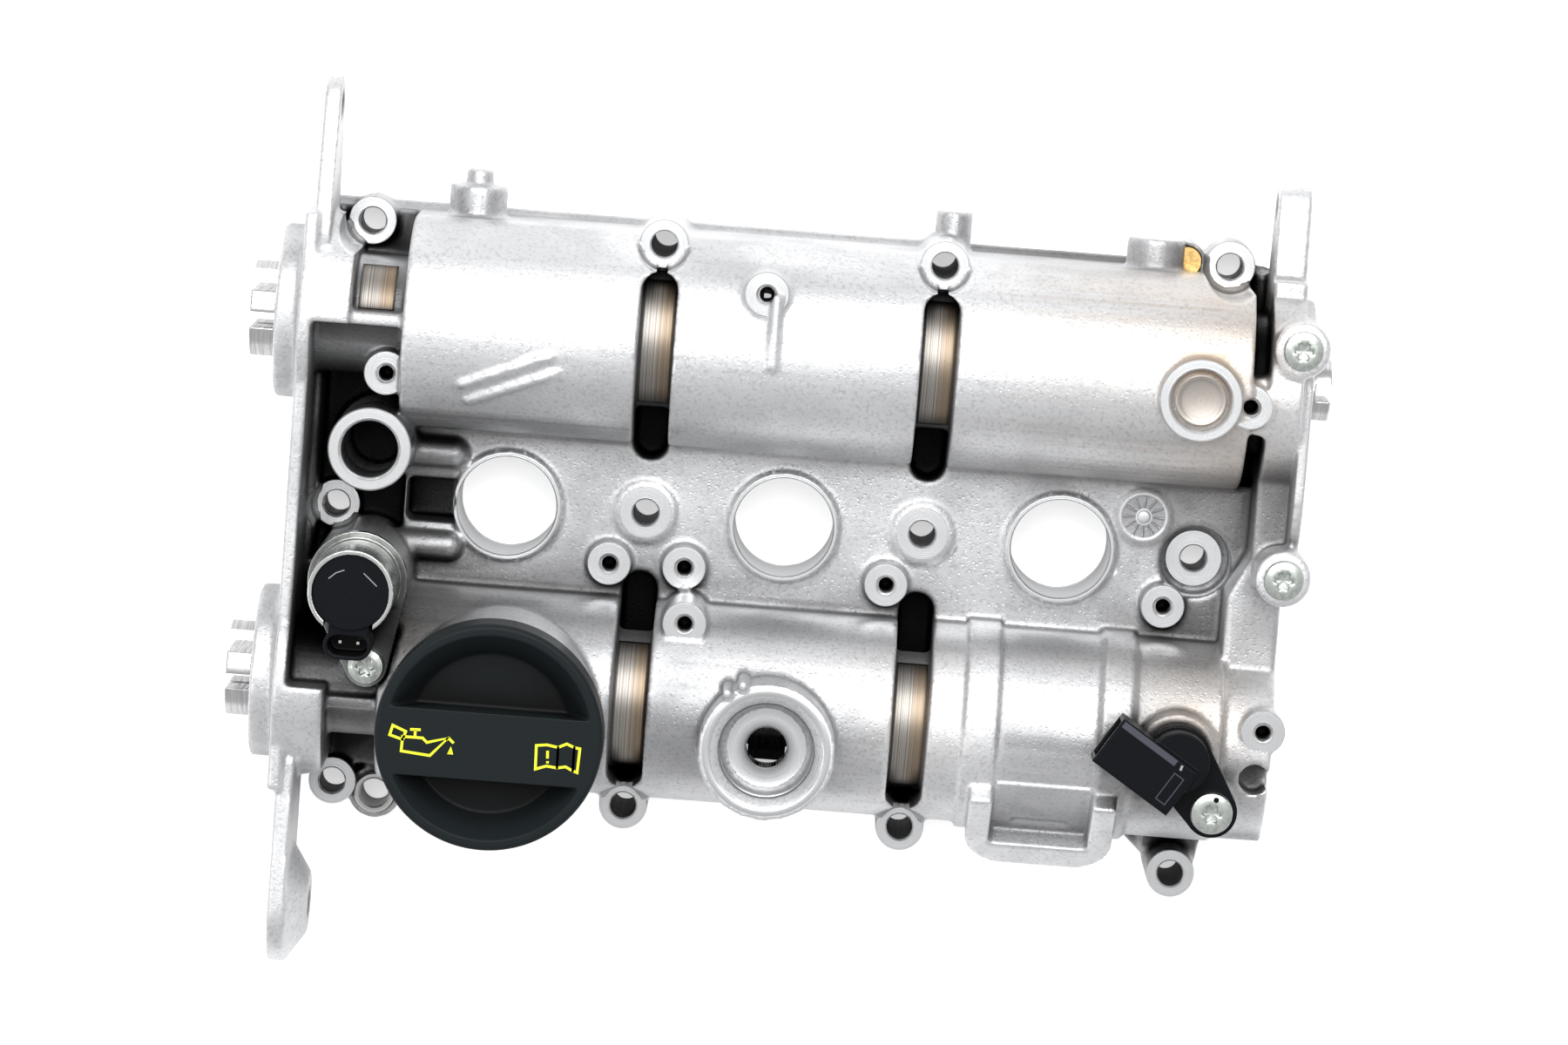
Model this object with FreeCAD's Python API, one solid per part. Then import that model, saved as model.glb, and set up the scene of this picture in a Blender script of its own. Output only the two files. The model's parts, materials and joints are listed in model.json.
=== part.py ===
import FreeCAD, Part
import math
import os

# Valve cover of a three-cylinder engine: one aluminium casting that also carries both camshafts.
# Millimetres. X runs along the camshafts, away from the timing end. Y runs from the intake side
# to the exhaust side. Z is up. The origin is on the axis of the middle coil well, on the gasket face.

V = FreeCAD.Vector

# Spacing that sets the whole layout
cylinder_pitch = 82.0
half_pitch = cylinder_pitch / 2
end_x = 1.5 * cylinder_pitch
cylinder_x = (-cylinder_pitch, 0.0, cylinder_pitch)
cam_y = 53.5
cam_z = 32.0

# Clearances
running_gap = 0.03
seat_gap = 0.03
open_gap = 0.35
overrun = 1.0

# Casting shell
wall = 3.5
exhaust_barrel_r = 31.0
intake_barrel_r = 29.0
valley_top = 26.0
valley_floor_t = 4.0
deck_top = 14.0
valley_half = 23.0
web_width = 18.0
barrel_left_x = -end_x + 8.5
barrel_right_x = end_x + 9.0
valley_left_x = barrel_left_x + 2.0
lip_t = 6.0
lip_out = 1.6

# Camshaft bearings
bearing_r = 13.5
bearing_bore_r = bearing_r + running_gap
bearing_ring_r = 20.0
intake_last_bearing_x = end_x + 1.5

# Slots over the bearings
slot_width = 10.5
slot_floor = deck_top
exhaust_slot_near = 17.0
exhaust_slot_far = cam_y + 21.4
intake_slot_near = 16.5
intake_slot_far = cam_y + 24.3

# Coil wells and coil screw bosses
well_bore_r = 14.7
well_outer_r = 17.6
well_rim_r = 16.2
well_rim_h = 1.2
coil_screw_dx = 31.4
coil_screw_y = -14.4

# Timing wall at the left end
timing_out_x = -end_x - 22.0
timing_wall_t = 4.0
timing_foot_t = 6.5
timing_land_t = 15.0
timing_wall_top = 56.0
timing_wall_front = cam_y + 32.0
timing_wall_rear = cam_y + 31.0
seal_land_r = 30.0
seal_housing_r = 25.5
seal_housing_len = 7.0
seal_pocket_r = 20.0
seal_len = 6.0
ear_z = 38.0
ear_hole_r = 4.2
rear_ear_y = cam_y + 61.5
rear_ear_r = 8.5
front_ear_r = 18.0
front_ear_y = -cam_y - 67.5
ear_root_r = 16.0
ear_root_in = 6.0
ear_inset = 2.5
ear_t = 5.0
ear_boss_t = 6.0
ear_boss_r = 9.0

# End wall on the right
end_in_x = end_x + 14.0
end_out_x = end_x + 24.0
end_step_x = end_x + 8.0
end_step_y = -8.0
end_step_top_y = 4.0
end_wall_top = 44.0
end_land_exhaust_r = 29.5
end_land_intake_r = 27.0
end_wall_rear = cam_y + 32.0
end_wall_front = cam_y + 26.5
end_pad_t = 3.0
end_pad_low = 6.0
end_pad_high = 58.0
end_pad_front_y = 3.0
end_ear_y = cam_y + 52.0
end_ear_r = 7.0
end_ear_z = 26.0
end_ear_hole_r = 3.3
end_boss_r = 8.2
end_boss_top = 62.0
end_boss_low = 46.0
end_boss_taper = 9.0
end_boss_x = end_out_x - 1.4
end_boss_ys = (0.4, cam_y + 13.8)

# Through bosses for the cover bolts
front_right_web = 15.0
bolt_hole_r = 3.9
bolt_boss_r = 7.2
spot_face_gap = 0.4
rear_bolt_y = cam_y + 28.8
front_bolt_y = -cam_y - 31.7
rear_bolt_top = 44.0
front_bolt_top = 36.0
valley_bolt_y = 1.2
valley_ring_r = 8.8
valley_ring_h = 1.0
corner_boss_top = 17.0
rear_left_bolt = (-end_x - 5.0, cam_y + 26.9)
rear_right_bolt = (end_x + 2.5, cam_y + 32.9)
rear_right_collar_r = 7.6
mid_left_bolt = (-end_x - 10.0, -4.4)
mid_right_bolt = (end_x - 1.0, -0.8)
mid_right_pad_r = 10.5
mid_right_pad_z = 18.0
front_left_bolt = (-end_x - 5.7, -cam_y - 34.3)
front_right_bolt = (end_x - 0.8, -cam_y - 40.1)
front_right_top = 32.0
sleeve_bolt = (-end_x + 7.0, -cam_y - 37.3)
sleeve_boss_r = 8.0
sleeve_boss_top = 13.0
sleeve_r = 6.0
sleeve_bore_r = 4.2
sleeve_top = 15.5

# Threaded bosses
tap_hole_r = 2.4
tap_boss_r = 6.6
tap_depth = 8.0
valley_tap_top = 30.0
link_tap = (-half_pitch + 12.6, coil_screw_y + 0.4)
port_tap = (-half_pitch + 14.3, -27.5)
port_tap_top = 52.0
deck_tap = (-end_x + 4.1, 38.9)
deck_tap_top = 50.0
barrel_tap = (-10.0, cam_y + 18.0)
barrel_tap_top = 62.0
barrel_tap_rib_len = 15.0
barrel_tap_rib_t = 2.6
barrel_tap_rib_dx = 3.0
barrel_tap_rib_top = cam_z + exhaust_barrel_r + 1.2
pad_tap = (end_x + 8.9, cam_y - 3.8)
pad_tap_top = 62.0
pad_tab_r = 8.6
pad_tab_dx = 4.5
pad_tab_drop = 3.0
end_tap = (end_out_x - 3.1, -45.3)
end_tap_top = 58.8
end_tap_low = 50.0
end_pocket_y = -cam_y - 6.0
end_pocket_r = 4.5
end_pocket_floor = 50.0

# Core plug pad on the exhaust barrel
core_pad = (end_x - 5.8, cam_y - 2.6)
core_pad_r = 12.0
core_pad_top = 65.5
core_seat_r = 9.0
core_seat_depth = 2.0
core_plug_r = 7.6
core_plug_t = 1.6
core_dish_r = 6.4
core_dish_depth = 0.8

# Oil filler neck and cap
neck_x = -cylinder_pitch + 3.0
neck_y = -cam_y - 3.5
neck_r = 29.5
neck_bore_r = 22.0
neck_top = 91.0
neck_seat_r = 25.5
neck_seat_depth = 6.0
cap_r = 32.6
cap_top = 106.0
cap_skirt_z = neck_top + 0.4
cap_bar_width = 19.6
cap_bar_shift = -2.6
cap_pocket_r = 29.6
cap_pocket_low_r = 23.0
cap_floor_share = 0.38
cap_pocket_floor = cap_skirt_z + cap_floor_share * (cap_top - cap_skirt_z)
cap_edge = 1.6
plug_r = neck_bore_r - open_gap
plug_bore_r = 18.0
plug_low_z = 80.5
plug_thread_lugs = 3
plug_lug_t = 1.4
cap_seal_t = 2.0

# Machined port on the intake barrel
port_y = -cam_y - 6.5
port_r = 20.0
port_top = 74.0
port_step_r = 16.5
port_step_depth = 3.0
port_seat_r = 13.6
port_seat_z = 65.0
port_hole_r = 6.0
prong_r = 1.5
prong_top = port_top + 3.0
prong_dist = 20.8
prong_angles = (113.0, 127.0)

# Saddle for a pump, its face leaning forward off the intake barrel
saddle_x = end_x - 41.5
saddle_half = 21.5
saddle_lean = 45.0
saddle_low = 12.0
saddle_high = intake_barrel_r + 6.0
saddle_front = -20.5
saddle_back = 10.0
saddle_round = 12.0
saddle_recess_half = 14.5
saddle_recess_front = -11.0
saddle_recess_floor = intake_barrel_r - 0.6
saddle_slit_half = 8.5
saddle_slit_w = 2.0
saddle_slit_depth = 1.2
saddle_slit_at = -7.5
band_w = 9.5
band_h = 1.6
band_offset = 19.8

# Raised foundry marks on the casting
date_disc = (end_x - 17.2, 11.4)
date_disc_r = 8.0
date_disc_h = 0.7
bone_start = (-95.0, 35.5)
bone_end = (-70.0, 46.0)
bone_gap = 5.4
bone_t = 2.0
bone_h = 1.4

# Humps on the exhaust flank
hump_y = cam_y + 40.0
hump_z = 21.0
hump_r = 8.5
left_hump_x = -end_x + 26.0
right_hump_x = end_x - 20.0
hump_nub_r = 4.0
hump_nub_len = 5.0
bolt_nub_x = half_pitch + 2.2
bolt_nub_r = 5.4
bolt_nub_y = cam_y + 43.0
bolt_nub_z = 16.0

# Valve towers between the camshafts at the timing end
tower_top = 53.0
spare_tower = (-end_x + 1.0, 16.6)
spare_tower_r = 12.2
spare_bore_r = 8.4
spare_bore_floor = 16.0
valve_tower = (-end_x + 0.4, -21.9)
valve_tower_r = 14.6
valve_bore_r = 9.0
valve_bore_floor = 18.0
drill_stub_r = 4.2
drill_stub_end_x = -end_x + 24.5
drill_stub_z = valley_top + 0.6
drill_stub_ys = (14.2, -13.4)
pocket_x = -end_x + 19.0
pocket_half_x = 7.6
pocket_half_y = 6.4
pocket_floor = 12.0
deck_rib_t = 3.6
deck_seat_r = 17.0
deck_ribs = ((cam_y + 1.5, 58.0), (-cam_y - 5.0, 52.0))

# Solenoid valve
valve_flange_t = 3.0
valve_flange_room = 0.8
valve_can_r = 12.4
valve_can_top = 82.0
valve_rim_depth = 2.6
valve_rim_t = 1.3
valve_disc_drop = 1.2
valve_stem_r = valve_bore_r - open_gap
valve_stem_low = 30.0
valve_screw = (-end_x + 4.6, -46.4)
valve_screw_boss_r = 6.4
socket_half_x = 7.0
socket_half_y = 4.2
socket_y = valve_tower[1] - valve_can_r + valve_rim_t - socket_half_y - open_gap
socket_low = 66.0
socket_top = 80.0
socket_wall = 1.2
socket_floor = 69.0
socket_pin_w = 0.8
socket_pin_dx = 2.6
socket_pin_top = 73.0

# Camshaft position sensor
sensor_pos = (end_x - 4.0, -53.0)
sensor_boss_r = 12.4
sensor_boss_top = 66.0
sensor_bore_r = 9.0
sensor_barrel_r = sensor_bore_r - 0.2
sensor_flange_r = 9.8
sensor_flange_t = 4.0
sensor_screw = (end_x + 7.0, -68.0)
sensor_screw_r = 7.6
sensor_angle = 147.5
sensor_box_start = 5.0
sensor_box_end = 38.0
sensor_box_half = 7.7
sensor_box_low = 67.6
sensor_box_top = 80.0
sensor_box_wall = 1.6
sensor_socket_depth = 13.0
sensor_pin_len = 7.0
sensor_pin_w = 0.7
sensor_pin_pitch = 3.4
sensor_air_gap = 1.3

# Screws with a six-lobed star recess
screw_head_r = 5.4
screw_head_h = 3.4
screw_shank_r = 2.9
screw_hole_r = screw_shank_r + seat_gap
screw_shank_len = 9.5
screw_hole_extra = 0.3
sensor_head_r = 6.2
gallery_head_r = 5.8
star_r = 2.1
star_lobe_r = 0.75
star_depth = 1.8
star_lobes = 6

# Brass plug beside the rear right bolt
brass_pos = (end_x - 10.6, cam_y + 33.8)
brass_boss_r = 5.6
brass_r = 4.2
brass_top = 20.0
brass_slot_w = 1.2
brass_slot_depth = 1.0

# Camshafts
tube_r = 11.0
tube_bore_r = 8.0
tube_left_x = -end_x + 7.0
tube_right_x = end_x + 10.0
lobe_offset = 17.0
lobe_width = 12.0
lobe_base_r = 16.0
lobe_nose_r = 6.0
lobe_reach = 21.5
ring_width = 16.0
seal_journal_r = 13.0
drive_r = 14.0
drive_end_x = -end_x - 37.0
drive_notch_depth = 8.5
drive_bolt_r = 5.0
drive_bolt_depth = 24.0
drive_notches = ((9.2, 5.8), (-2.3, 4.5))
spigot_len = 12.0
output_r = 9.0
output_neck_r = 12.5
output_end_x = end_x + 33.5
output_slot_w = 5.0
output_slot_depth = 4.5
output_seal_pocket_r = 18.0
end_plug_r = 15.5
end_plug_t = 3.0
wheel_room = 1.5
wheel_r = intake_barrel_r - wall - wheel_room
wheel_t = 3.0
wheel_x = end_x - 4.5
wheel_hub_r = 15.0
wheel_hub_len = 7.0
wheel_gap_depth = 4.0
wheel_gaps = ((90.0, 12.0), (210.0, 22.0), (320.0, 16.0))
pump_cam_width = 11.0
pump_cam_base_r = 13.2
pump_cam_nose_r = 7.0
pump_cam_reach = 17.5
pump_cam_lobes = 3
intake_first_angle = 62.0
exhaust_first_angle = 118.0
firing_step = 120.0


def box(x0, x1, y0, y1, z0, z1):
    low = V(min(x0, x1), min(y0, y1), min(z0, z1))
    return Part.makeBox(abs(x1 - x0), abs(y1 - y0), abs(z1 - z0), low)


def post(x, y, r, z0, z1):
    """Upright cylinder."""
    return Part.makeCylinder(r, z1 - z0, V(x, y, z0))


def rod(y, z, r, x0, x1):
    """Cylinder along X."""
    return Part.makeCylinder(r, x1 - x0, V(x0, y, z), V(1, 0, 0))


def tube(y, z, r, bore, x0, x1):
    return rod(y, z, r, x0, x1).cut(rod(y, z, bore, x0 - overrun, x1 + overrun))


def pipe_up(x, y, r, bore, z0, z1):
    return post(x, y, r, z0, z1).cut(post(x, y, bore, z0 - overrun, z1 + overrun))


def join(shapes):
    return shapes[0].multiFuse(shapes[1:])


def at_angle(cx, cy, r, degrees):
    a = math.radians(degrees)
    return V(cx + r * math.cos(a), cy + r * math.sin(a), 0)


def hull_face(x1, y1, r1, x2, y2, r2):
    """Flat outline around two circles, joined by their outer tangents."""
    reach = math.hypot(x2 - x1, y2 - y1)
    way = math.degrees(math.atan2(y2 - y1, x2 - x1))
    lean = math.degrees(math.acos((r1 - r2) / reach))
    a = at_angle(x1, y1, r1, way + lean)
    b = at_angle(x1, y1, r1, way + 180)
    c = at_angle(x1, y1, r1, way - lean)
    d = at_angle(x2, y2, r2, way - lean)
    e = at_angle(x2, y2, r2, way)
    f = at_angle(x2, y2, r2, way + lean)
    edges = [Part.Arc(a, b, c).toShape(), Part.makeLine(c, d)]
    edges += [Part.Arc(d, e, f).toShape(), Part.makeLine(f, a)]
    return Part.Face(Part.Wire(edges))


def arch_face(y, z, r, z_low):
    """Outline of a barrel's cross-section: a half circle standing on straight sides."""
    a, b = V(y - r, z_low, 0), V(y - r, z, 0)
    c, d = V(y + r, z, 0), V(y + r, z_low, 0)
    top = Part.Arc(b, V(y, z + r, 0), c).toShape()
    return Part.Face(Part.Wire([Part.makeLine(a, b), top, Part.makeLine(c, d), Part.makeLine(d, a)]))


def upright(face, z0, z1):
    """Raise a flat outline from z0 to z1."""
    solid = face.extrude(V(0, 0, z1 - z0))
    solid.translate(V(0, 0, z0))
    return solid


def along_x(face, x0, x1):
    """Stand a flat outline in the Y-Z plane and run it along X."""
    solid = upright(face, x0, x1)
    solid.rotate(V(0, 0, 0), V(1, 1, 1), 120)
    return solid


def barrel(y, r, z_low, x0, x1):
    return along_x(arch_face(y, cam_z, r, z_low), x0, x1)


def bearing_slot(x, y_near, y_far):
    """Narrow slot with round ends that lays a bearing ring bare."""
    r = slot_width / 2
    side = math.copysign(1, y_far)
    ends = hull_face(x, side * (abs(y_near) + r), r, x, side * (abs(y_far) - r), r)
    top = cam_z + exhaust_barrel_r + overrun
    ring = rod(side * cam_y, cam_z, bearing_ring_r, x - web_width, x + web_width)
    return upright(ends, slot_floor, top).cut(ring)


def bearing_seat(side, r, x0, x1):
    """Ring round one camshaft bearing and the block that carries it."""
    ring = rod(side * cam_y, cam_z, r, x0, x1)
    return join([ring, box(x0, x1, side * cam_y - r, side * cam_y + r, 0, cam_z)])


def timing_wall():
    """Tall plate at the timing end, with a land and a seal housing round each camshaft and two ears."""
    plate_in = timing_out_x + timing_wall_t
    parts = [box(timing_out_x, plate_in, -timing_wall_front, timing_wall_rear, 0, timing_wall_top)]
    foot_in = timing_out_x + timing_foot_t
    parts.append(box(timing_out_x, foot_in, -timing_wall_front, timing_wall_rear, 0, cam_z))
    for side in (-1, 1):
        y = side * cam_y
        parts.append(rod(y, cam_z, seal_land_r, timing_out_x, plate_in))
        land_in = timing_out_x + timing_land_t
        outer_half = box(timing_out_x, land_in, y, side * timing_wall_rear, 0, 2 * timing_wall_top)
        thick = rod(y, cam_z, seal_land_r, timing_out_x, land_in)
        parts.append(thick.common(outer_half))
        parts.append(rod(y, cam_z, seal_housing_r, timing_out_x - seal_housing_len, plate_in))
    ear_x = timing_out_x + ear_inset
    rear = hull_face(timing_wall_rear - ear_root_in, ear_z, ear_root_r, rear_ear_y, ear_z, rear_ear_r)
    front = hull_face(-timing_wall_front + ear_root_in, ear_z, ear_root_r, front_ear_y, ear_z, front_ear_r)
    parts += [along_x(rear, ear_x, ear_x + ear_t), along_x(front, ear_x, ear_x + ear_t)]
    boss_foot = V(ear_x + ear_t, front_ear_y, ear_z)
    parts.append(Part.makeCone(front_ear_r, ear_boss_r, ear_boss_t, boss_foot, V(1, 0, 0)))
    return parts


def end_wall():
    """Wall at the far end, thicker in front than behind, with a machined pad and two bosses."""
    plan = Part.Face(Part.makePolygon([
        V(end_in_x, end_wall_rear, 0), V(end_out_x, end_wall_rear, 0), V(end_out_x, -end_wall_front, 0),
        V(end_step_x, -end_wall_front, 0), V(end_step_x, end_step_y, 0), V(end_in_x, end_step_top_y, 0),
        V(end_in_x, end_wall_rear, 0)]))
    full = upright(plan, 0, cam_z + exhaust_barrel_r)
    outline = [box(end_step_x, end_out_x, -end_wall_front, end_wall_rear, 0, end_wall_top)]
    outline.append(rod(cam_y, cam_z, end_land_exhaust_r, end_step_x, end_out_x))
    outline.append(rod(-cam_y, cam_z, end_land_intake_r, end_step_x, end_out_x))
    parts = [full.common(join(outline))]
    low = end_pad_front_y + end_wall_top / 2
    pad = hull_face(low, cam_z, cam_z - end_pad_low, cam_y, cam_z, end_pad_high - cam_z)
    parts.append(along_x(pad, end_out_x, end_out_x + end_pad_t))
    ear = hull_face(end_wall_rear - end_ear_r, end_ear_z, end_ear_r + wall, end_ear_y, end_ear_z, end_ear_r)
    parts.append(along_x(ear, end_in_x, end_out_x))
    for y in end_boss_ys:
        parts.append(post(end_boss_x, y, end_boss_r, end_boss_low, end_boss_top))
        foot = V(end_boss_x, y, end_boss_low - end_boss_taper)
        parts.append(Part.makeCone(star_r, end_boss_r, end_boss_taper, foot))
    return parts


def through_bolts():
    """Every hole for a cover bolt: x, y, boss radius and top of its boss."""
    places = []
    for x in (-half_pitch, half_pitch):
        places.append((x, rear_bolt_y, bolt_boss_r, rear_bolt_top))
        places.append((x, front_bolt_y, bolt_boss_r, front_bolt_top))
        places.append((x, valley_bolt_y, valley_ring_r, valley_top + valley_ring_h))
    places.append((*rear_left_bolt, bolt_boss_r, corner_boss_top))
    places.append((*rear_right_bolt, rear_right_collar_r, corner_boss_top))
    places.append((*mid_left_bolt, bolt_boss_r, corner_boss_top))
    places.append((*mid_right_bolt, bolt_boss_r, mid_right_pad_z))
    places.append((*front_left_bolt, bolt_boss_r, corner_boss_top))
    places.append((*front_right_bolt, bolt_boss_r, front_right_top))
    return places


def tapped_bosses():
    """Every blind threaded hole: x, y, top of its boss and where the boss starts."""
    places = [(x + coil_screw_dx, coil_screw_y, valley_tap_top, 0) for x in cylinder_x]
    places.append((*link_tap, valley_tap_top, 0))
    places.append((*port_tap, port_tap_top, 0))
    places.append((*deck_tap, deck_tap_top, 0))
    places.append((*barrel_tap, barrel_tap_top, cam_z))
    places.append((*pad_tap, pad_tap_top, 0))
    places.append((*end_tap, end_tap_top, end_tap_low))
    return places


def leaned(solid):
    """Lean a solid drawn over the camshaft axis forward to the saddle's face, and carry it there."""
    solid.rotate(V(0, 0, 0), V(1, 0, 0), saddle_lean)
    solid.translate(V(saddle_x, -cam_y, cam_z))
    return solid


def saddle():
    """Block that grows out of the intake barrel, with its two front corners well rounded."""
    block = box(-saddle_half, saddle_half, saddle_front, saddle_back, saddle_low, saddle_high)
    corners = [e for e in block.Edges if abs(e.CenterOfMass.y - saddle_front) < seat_gap
               and e.BoundBox.ZLength > saddle_round]
    return leaned(block.makeFillet(saddle_round, corners))


def saddle_cuts():
    """Flat the pump sits on, open towards the top, and the narrow slit in it."""
    recess = box(-saddle_recess_half, saddle_recess_half, saddle_recess_front, 2 * saddle_high,
                 saddle_recess_floor, 2 * saddle_high)
    slit = box(-saddle_slit_half, saddle_slit_half, saddle_slit_at - saddle_slit_w / 2,
               saddle_slit_at + saddle_slit_w / 2, saddle_recess_floor - saddle_slit_depth, saddle_high)
    return [leaned(recess), leaned(slit)]


def bands():
    """Two raised bands over the intake barrel, one at each side of the saddle."""
    parts = []
    for side in (-1, 1):
        mid = saddle_x + side * band_offset
        parts.append(barrel(-cam_y, intake_barrel_r + band_h, valley_top, mid - band_w / 2, mid + band_w / 2))
    return parts


def bone_ribs():
    """Two short parallel ribs that lie on the exhaust barrel."""
    length = math.hypot(bone_end[0] - bone_start[0], bone_end[1] - bone_start[1])
    way = math.degrees(math.atan2(bone_end[1] - bone_start[1], bone_end[0] - bone_start[0]))
    skin = rod(cam_y, cam_z, exhaust_barrel_r + bone_h, barrel_left_x, 0)
    parts = []
    for side in (-1, 1):
        mid = side * bone_gap / 2
        face = hull_face(0, mid, bone_t / 2, length, mid, bone_t / 2 - seat_gap)
        rib = upright(face, cam_z, cam_z + 2 * exhaust_barrel_r)
        rib.rotate(V(0, 0, 0), V(0, 0, 1), way)
        rib.translate(V(bone_start[0], bone_start[1], 0))
        parts.append(rib.common(skin))
    return parts


def body_blocks():
    """Everything that is cast solid, before it is hollowed from below."""
    parts = [barrel(cam_y, exhaust_barrel_r, 0, barrel_left_x, barrel_right_x)]
    parts.append(barrel(-cam_y, intake_barrel_r, 0, barrel_left_x, barrel_right_x))
    parts.append(box(valley_left_x, end_in_x, -cam_y + intake_barrel_r / 2, valley_half, 0, valley_top))
    front, rear = -cam_y - intake_barrel_r, cam_y + exhaust_barrel_r
    parts.append(box(timing_out_x, end_in_x, front - lip_out, rear + lip_out, 0, lip_t))
    parts.append(box(timing_out_x, valley_left_x, front, rear, 0, deck_top))
    parts.append(box(barrel_right_x, end_in_x, front, rear, 0, deck_top))
    for side in (-1, 1):
        parts.append(bearing_seat(side, deck_seat_r, timing_out_x, barrel_left_x))
    for y, top in deck_ribs:
        parts.append(box(timing_out_x, barrel_left_x, y - deck_rib_t / 2, y + deck_rib_t / 2, cam_z, top))
    parts.append(bearing_seat(1, bearing_ring_r, barrel_right_x, end_in_x))
    return parts + timing_wall() + end_wall()


def raised_parts():
    """Towers, necks, pads, humps and ribs that stand on the barrels and the valley."""
    parts = [post(neck_x, neck_y, neck_r, cam_z, neck_top), post(0, port_y, port_r, cam_z, port_top)]
    parts += [post(*core_pad, core_pad_r, cam_z, core_pad_top)]
    parts += [post(*sensor_pos, sensor_boss_r, cam_z, sensor_boss_top)]
    parts += [post(*sensor_screw, sensor_screw_r, cam_z, sensor_boss_top)]
    parts.append(post(*spare_tower, spare_tower_r, 0, tower_top))
    parts.append(post(*valve_tower, valve_tower_r, 0, tower_top))
    parts.append(post(*valve_screw, valve_screw_boss_r, 0, tower_top))
    parts.append(post(*brass_pos, brass_boss_r, 0, brass_top))
    parts.append(post(*sleeve_bolt, sleeve_boss_r, 0, sleeve_boss_top))
    parts.append(post(*date_disc, date_disc_r, deck_top, valley_top + date_disc_h))
    pad_link = hull_face(*core_pad, tap_boss_r, *pad_tap, tap_boss_r - seat_gap)
    parts.append(upright(pad_link, cam_z, pad_tap_top - band_h))
    parts.append(post(pad_tap[0] + pad_tab_dx, pad_tap[1], pad_tab_r, cam_z, pad_tap_top - pad_tab_drop))
    root = (front_right_bolt[0], -cam_y - intake_barrel_r + bolt_boss_r)
    foot = hull_face(*root, bolt_boss_r + wall, *front_right_bolt, bolt_boss_r)
    parts.append(upright(foot, 0, corner_boss_top))
    web_root = (root[0] - front_right_web, root[1])
    web = hull_face(*web_root, bolt_boss_r, *front_right_bolt, bolt_boss_r - wall)
    parts.append(upright(web, 0, deck_top))
    for place in (front_left_bolt, sleeve_bolt):
        foot = (place[0], -cam_y - intake_barrel_r + bolt_boss_r)
        parts.append(upright(hull_face(*foot, bolt_boss_r + wall, *place, bolt_boss_r), 0, lip_t))
    for x in cylinder_x:
        parts.append(post(x, 0, well_rim_r, deck_top, valley_top + well_rim_h))
    for y in drill_stub_ys:
        parts.append(rod(y, drill_stub_z, drill_stub_r, valve_tower[0], drill_stub_end_x))
        parts.append(Part.makeSphere(drill_stub_r, V(drill_stub_end_x, y, drill_stub_z)))
    for x in (left_hump_x, right_hump_x):
        parts.append(Part.makeCylinder(hump_r, hump_y - cam_y, V(x, cam_y, hump_z), V(0, 1, 0)))
    nub_end = hump_y + hump_nub_len - cam_y
    parts.append(Part.makeCylinder(hump_nub_r, nub_end, V(left_hump_x, cam_y, hump_z), V(0, 1, 0)))
    nub_reach = bolt_nub_y - cam_y
    parts.append(Part.makeCylinder(bolt_nub_r, nub_reach, V(bolt_nub_x, cam_y, bolt_nub_z), V(0, 1, 0)))
    rib_x, rib_y = barrel_tap[0] + barrel_tap_rib_dx, barrel_tap[1] - tap_boss_r - barrel_tap_rib_len
    parts.append(box(rib_x - barrel_tap_rib_t / 2, rib_x + barrel_tap_rib_t / 2, rib_y, barrel_tap[1], cam_z,
                     barrel_tap_rib_top))
    for angle in prong_angles:
        spot = at_angle(0, port_y, prong_dist, angle)
        parts.append(post(spot.x, spot.y, prong_r, cam_z, prong_top))
    return parts + [saddle()] + bands() + bone_ribs()


def hollows():
    """Cam chambers, valley cavities and bores taken out of the casting."""
    cuts = []
    half_web = web_width / 2
    first, last = barrel_left_x + wall, end_x - half_web
    exhaust_spans = ((first, -half_pitch - half_web), (-half_pitch + half_web, half_pitch - half_web),
                     (half_pitch + half_web, last))
    intake_spans = exhaust_spans[:2] + ((half_pitch + half_web, intake_last_bearing_x),)
    for x0, x1 in exhaust_spans:
        cuts.append(barrel(cam_y, exhaust_barrel_r - wall, -overrun, x0, x1))
    for x0, x1 in intake_spans:
        cuts.append(barrel(-cam_y, intake_barrel_r - wall, -overrun, x0, x1))
    y0, y1 = -cam_y + intake_barrel_r + wall / 2, cam_y - exhaust_barrel_r - wall / 2
    cavity_left = pocket_x + pocket_half_x + wall
    valley_spans = ((cavity_left, -half_pitch - half_web), exhaust_spans[1],
                    (half_pitch + half_web, mid_right_bolt[0] - mid_right_pad_r - wall))
    for x0, x1 in valley_spans:
        mid = min(cylinder_x, key=lambda c: abs(c - (x0 + x1) / 2))
        keep = [post(mid, 0, well_outer_r, -2 * overrun, valley_top)]
        keep += [post(x, y, tap_boss_r, -2 * overrun, valley_top) for x, y, top, low in tapped_bosses()
                 if low == 0 and y0 - tap_boss_r < y < y1]
        cuts.append(box(x0, x1, y0, y1, -overrun, valley_top - valley_floor_t).cut(join(keep)))
    cuts += [post(x, 0, well_bore_r, -overrun, valley_top + valley_ring_h + overrun) for x in cylinder_x]
    return cuts


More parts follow.
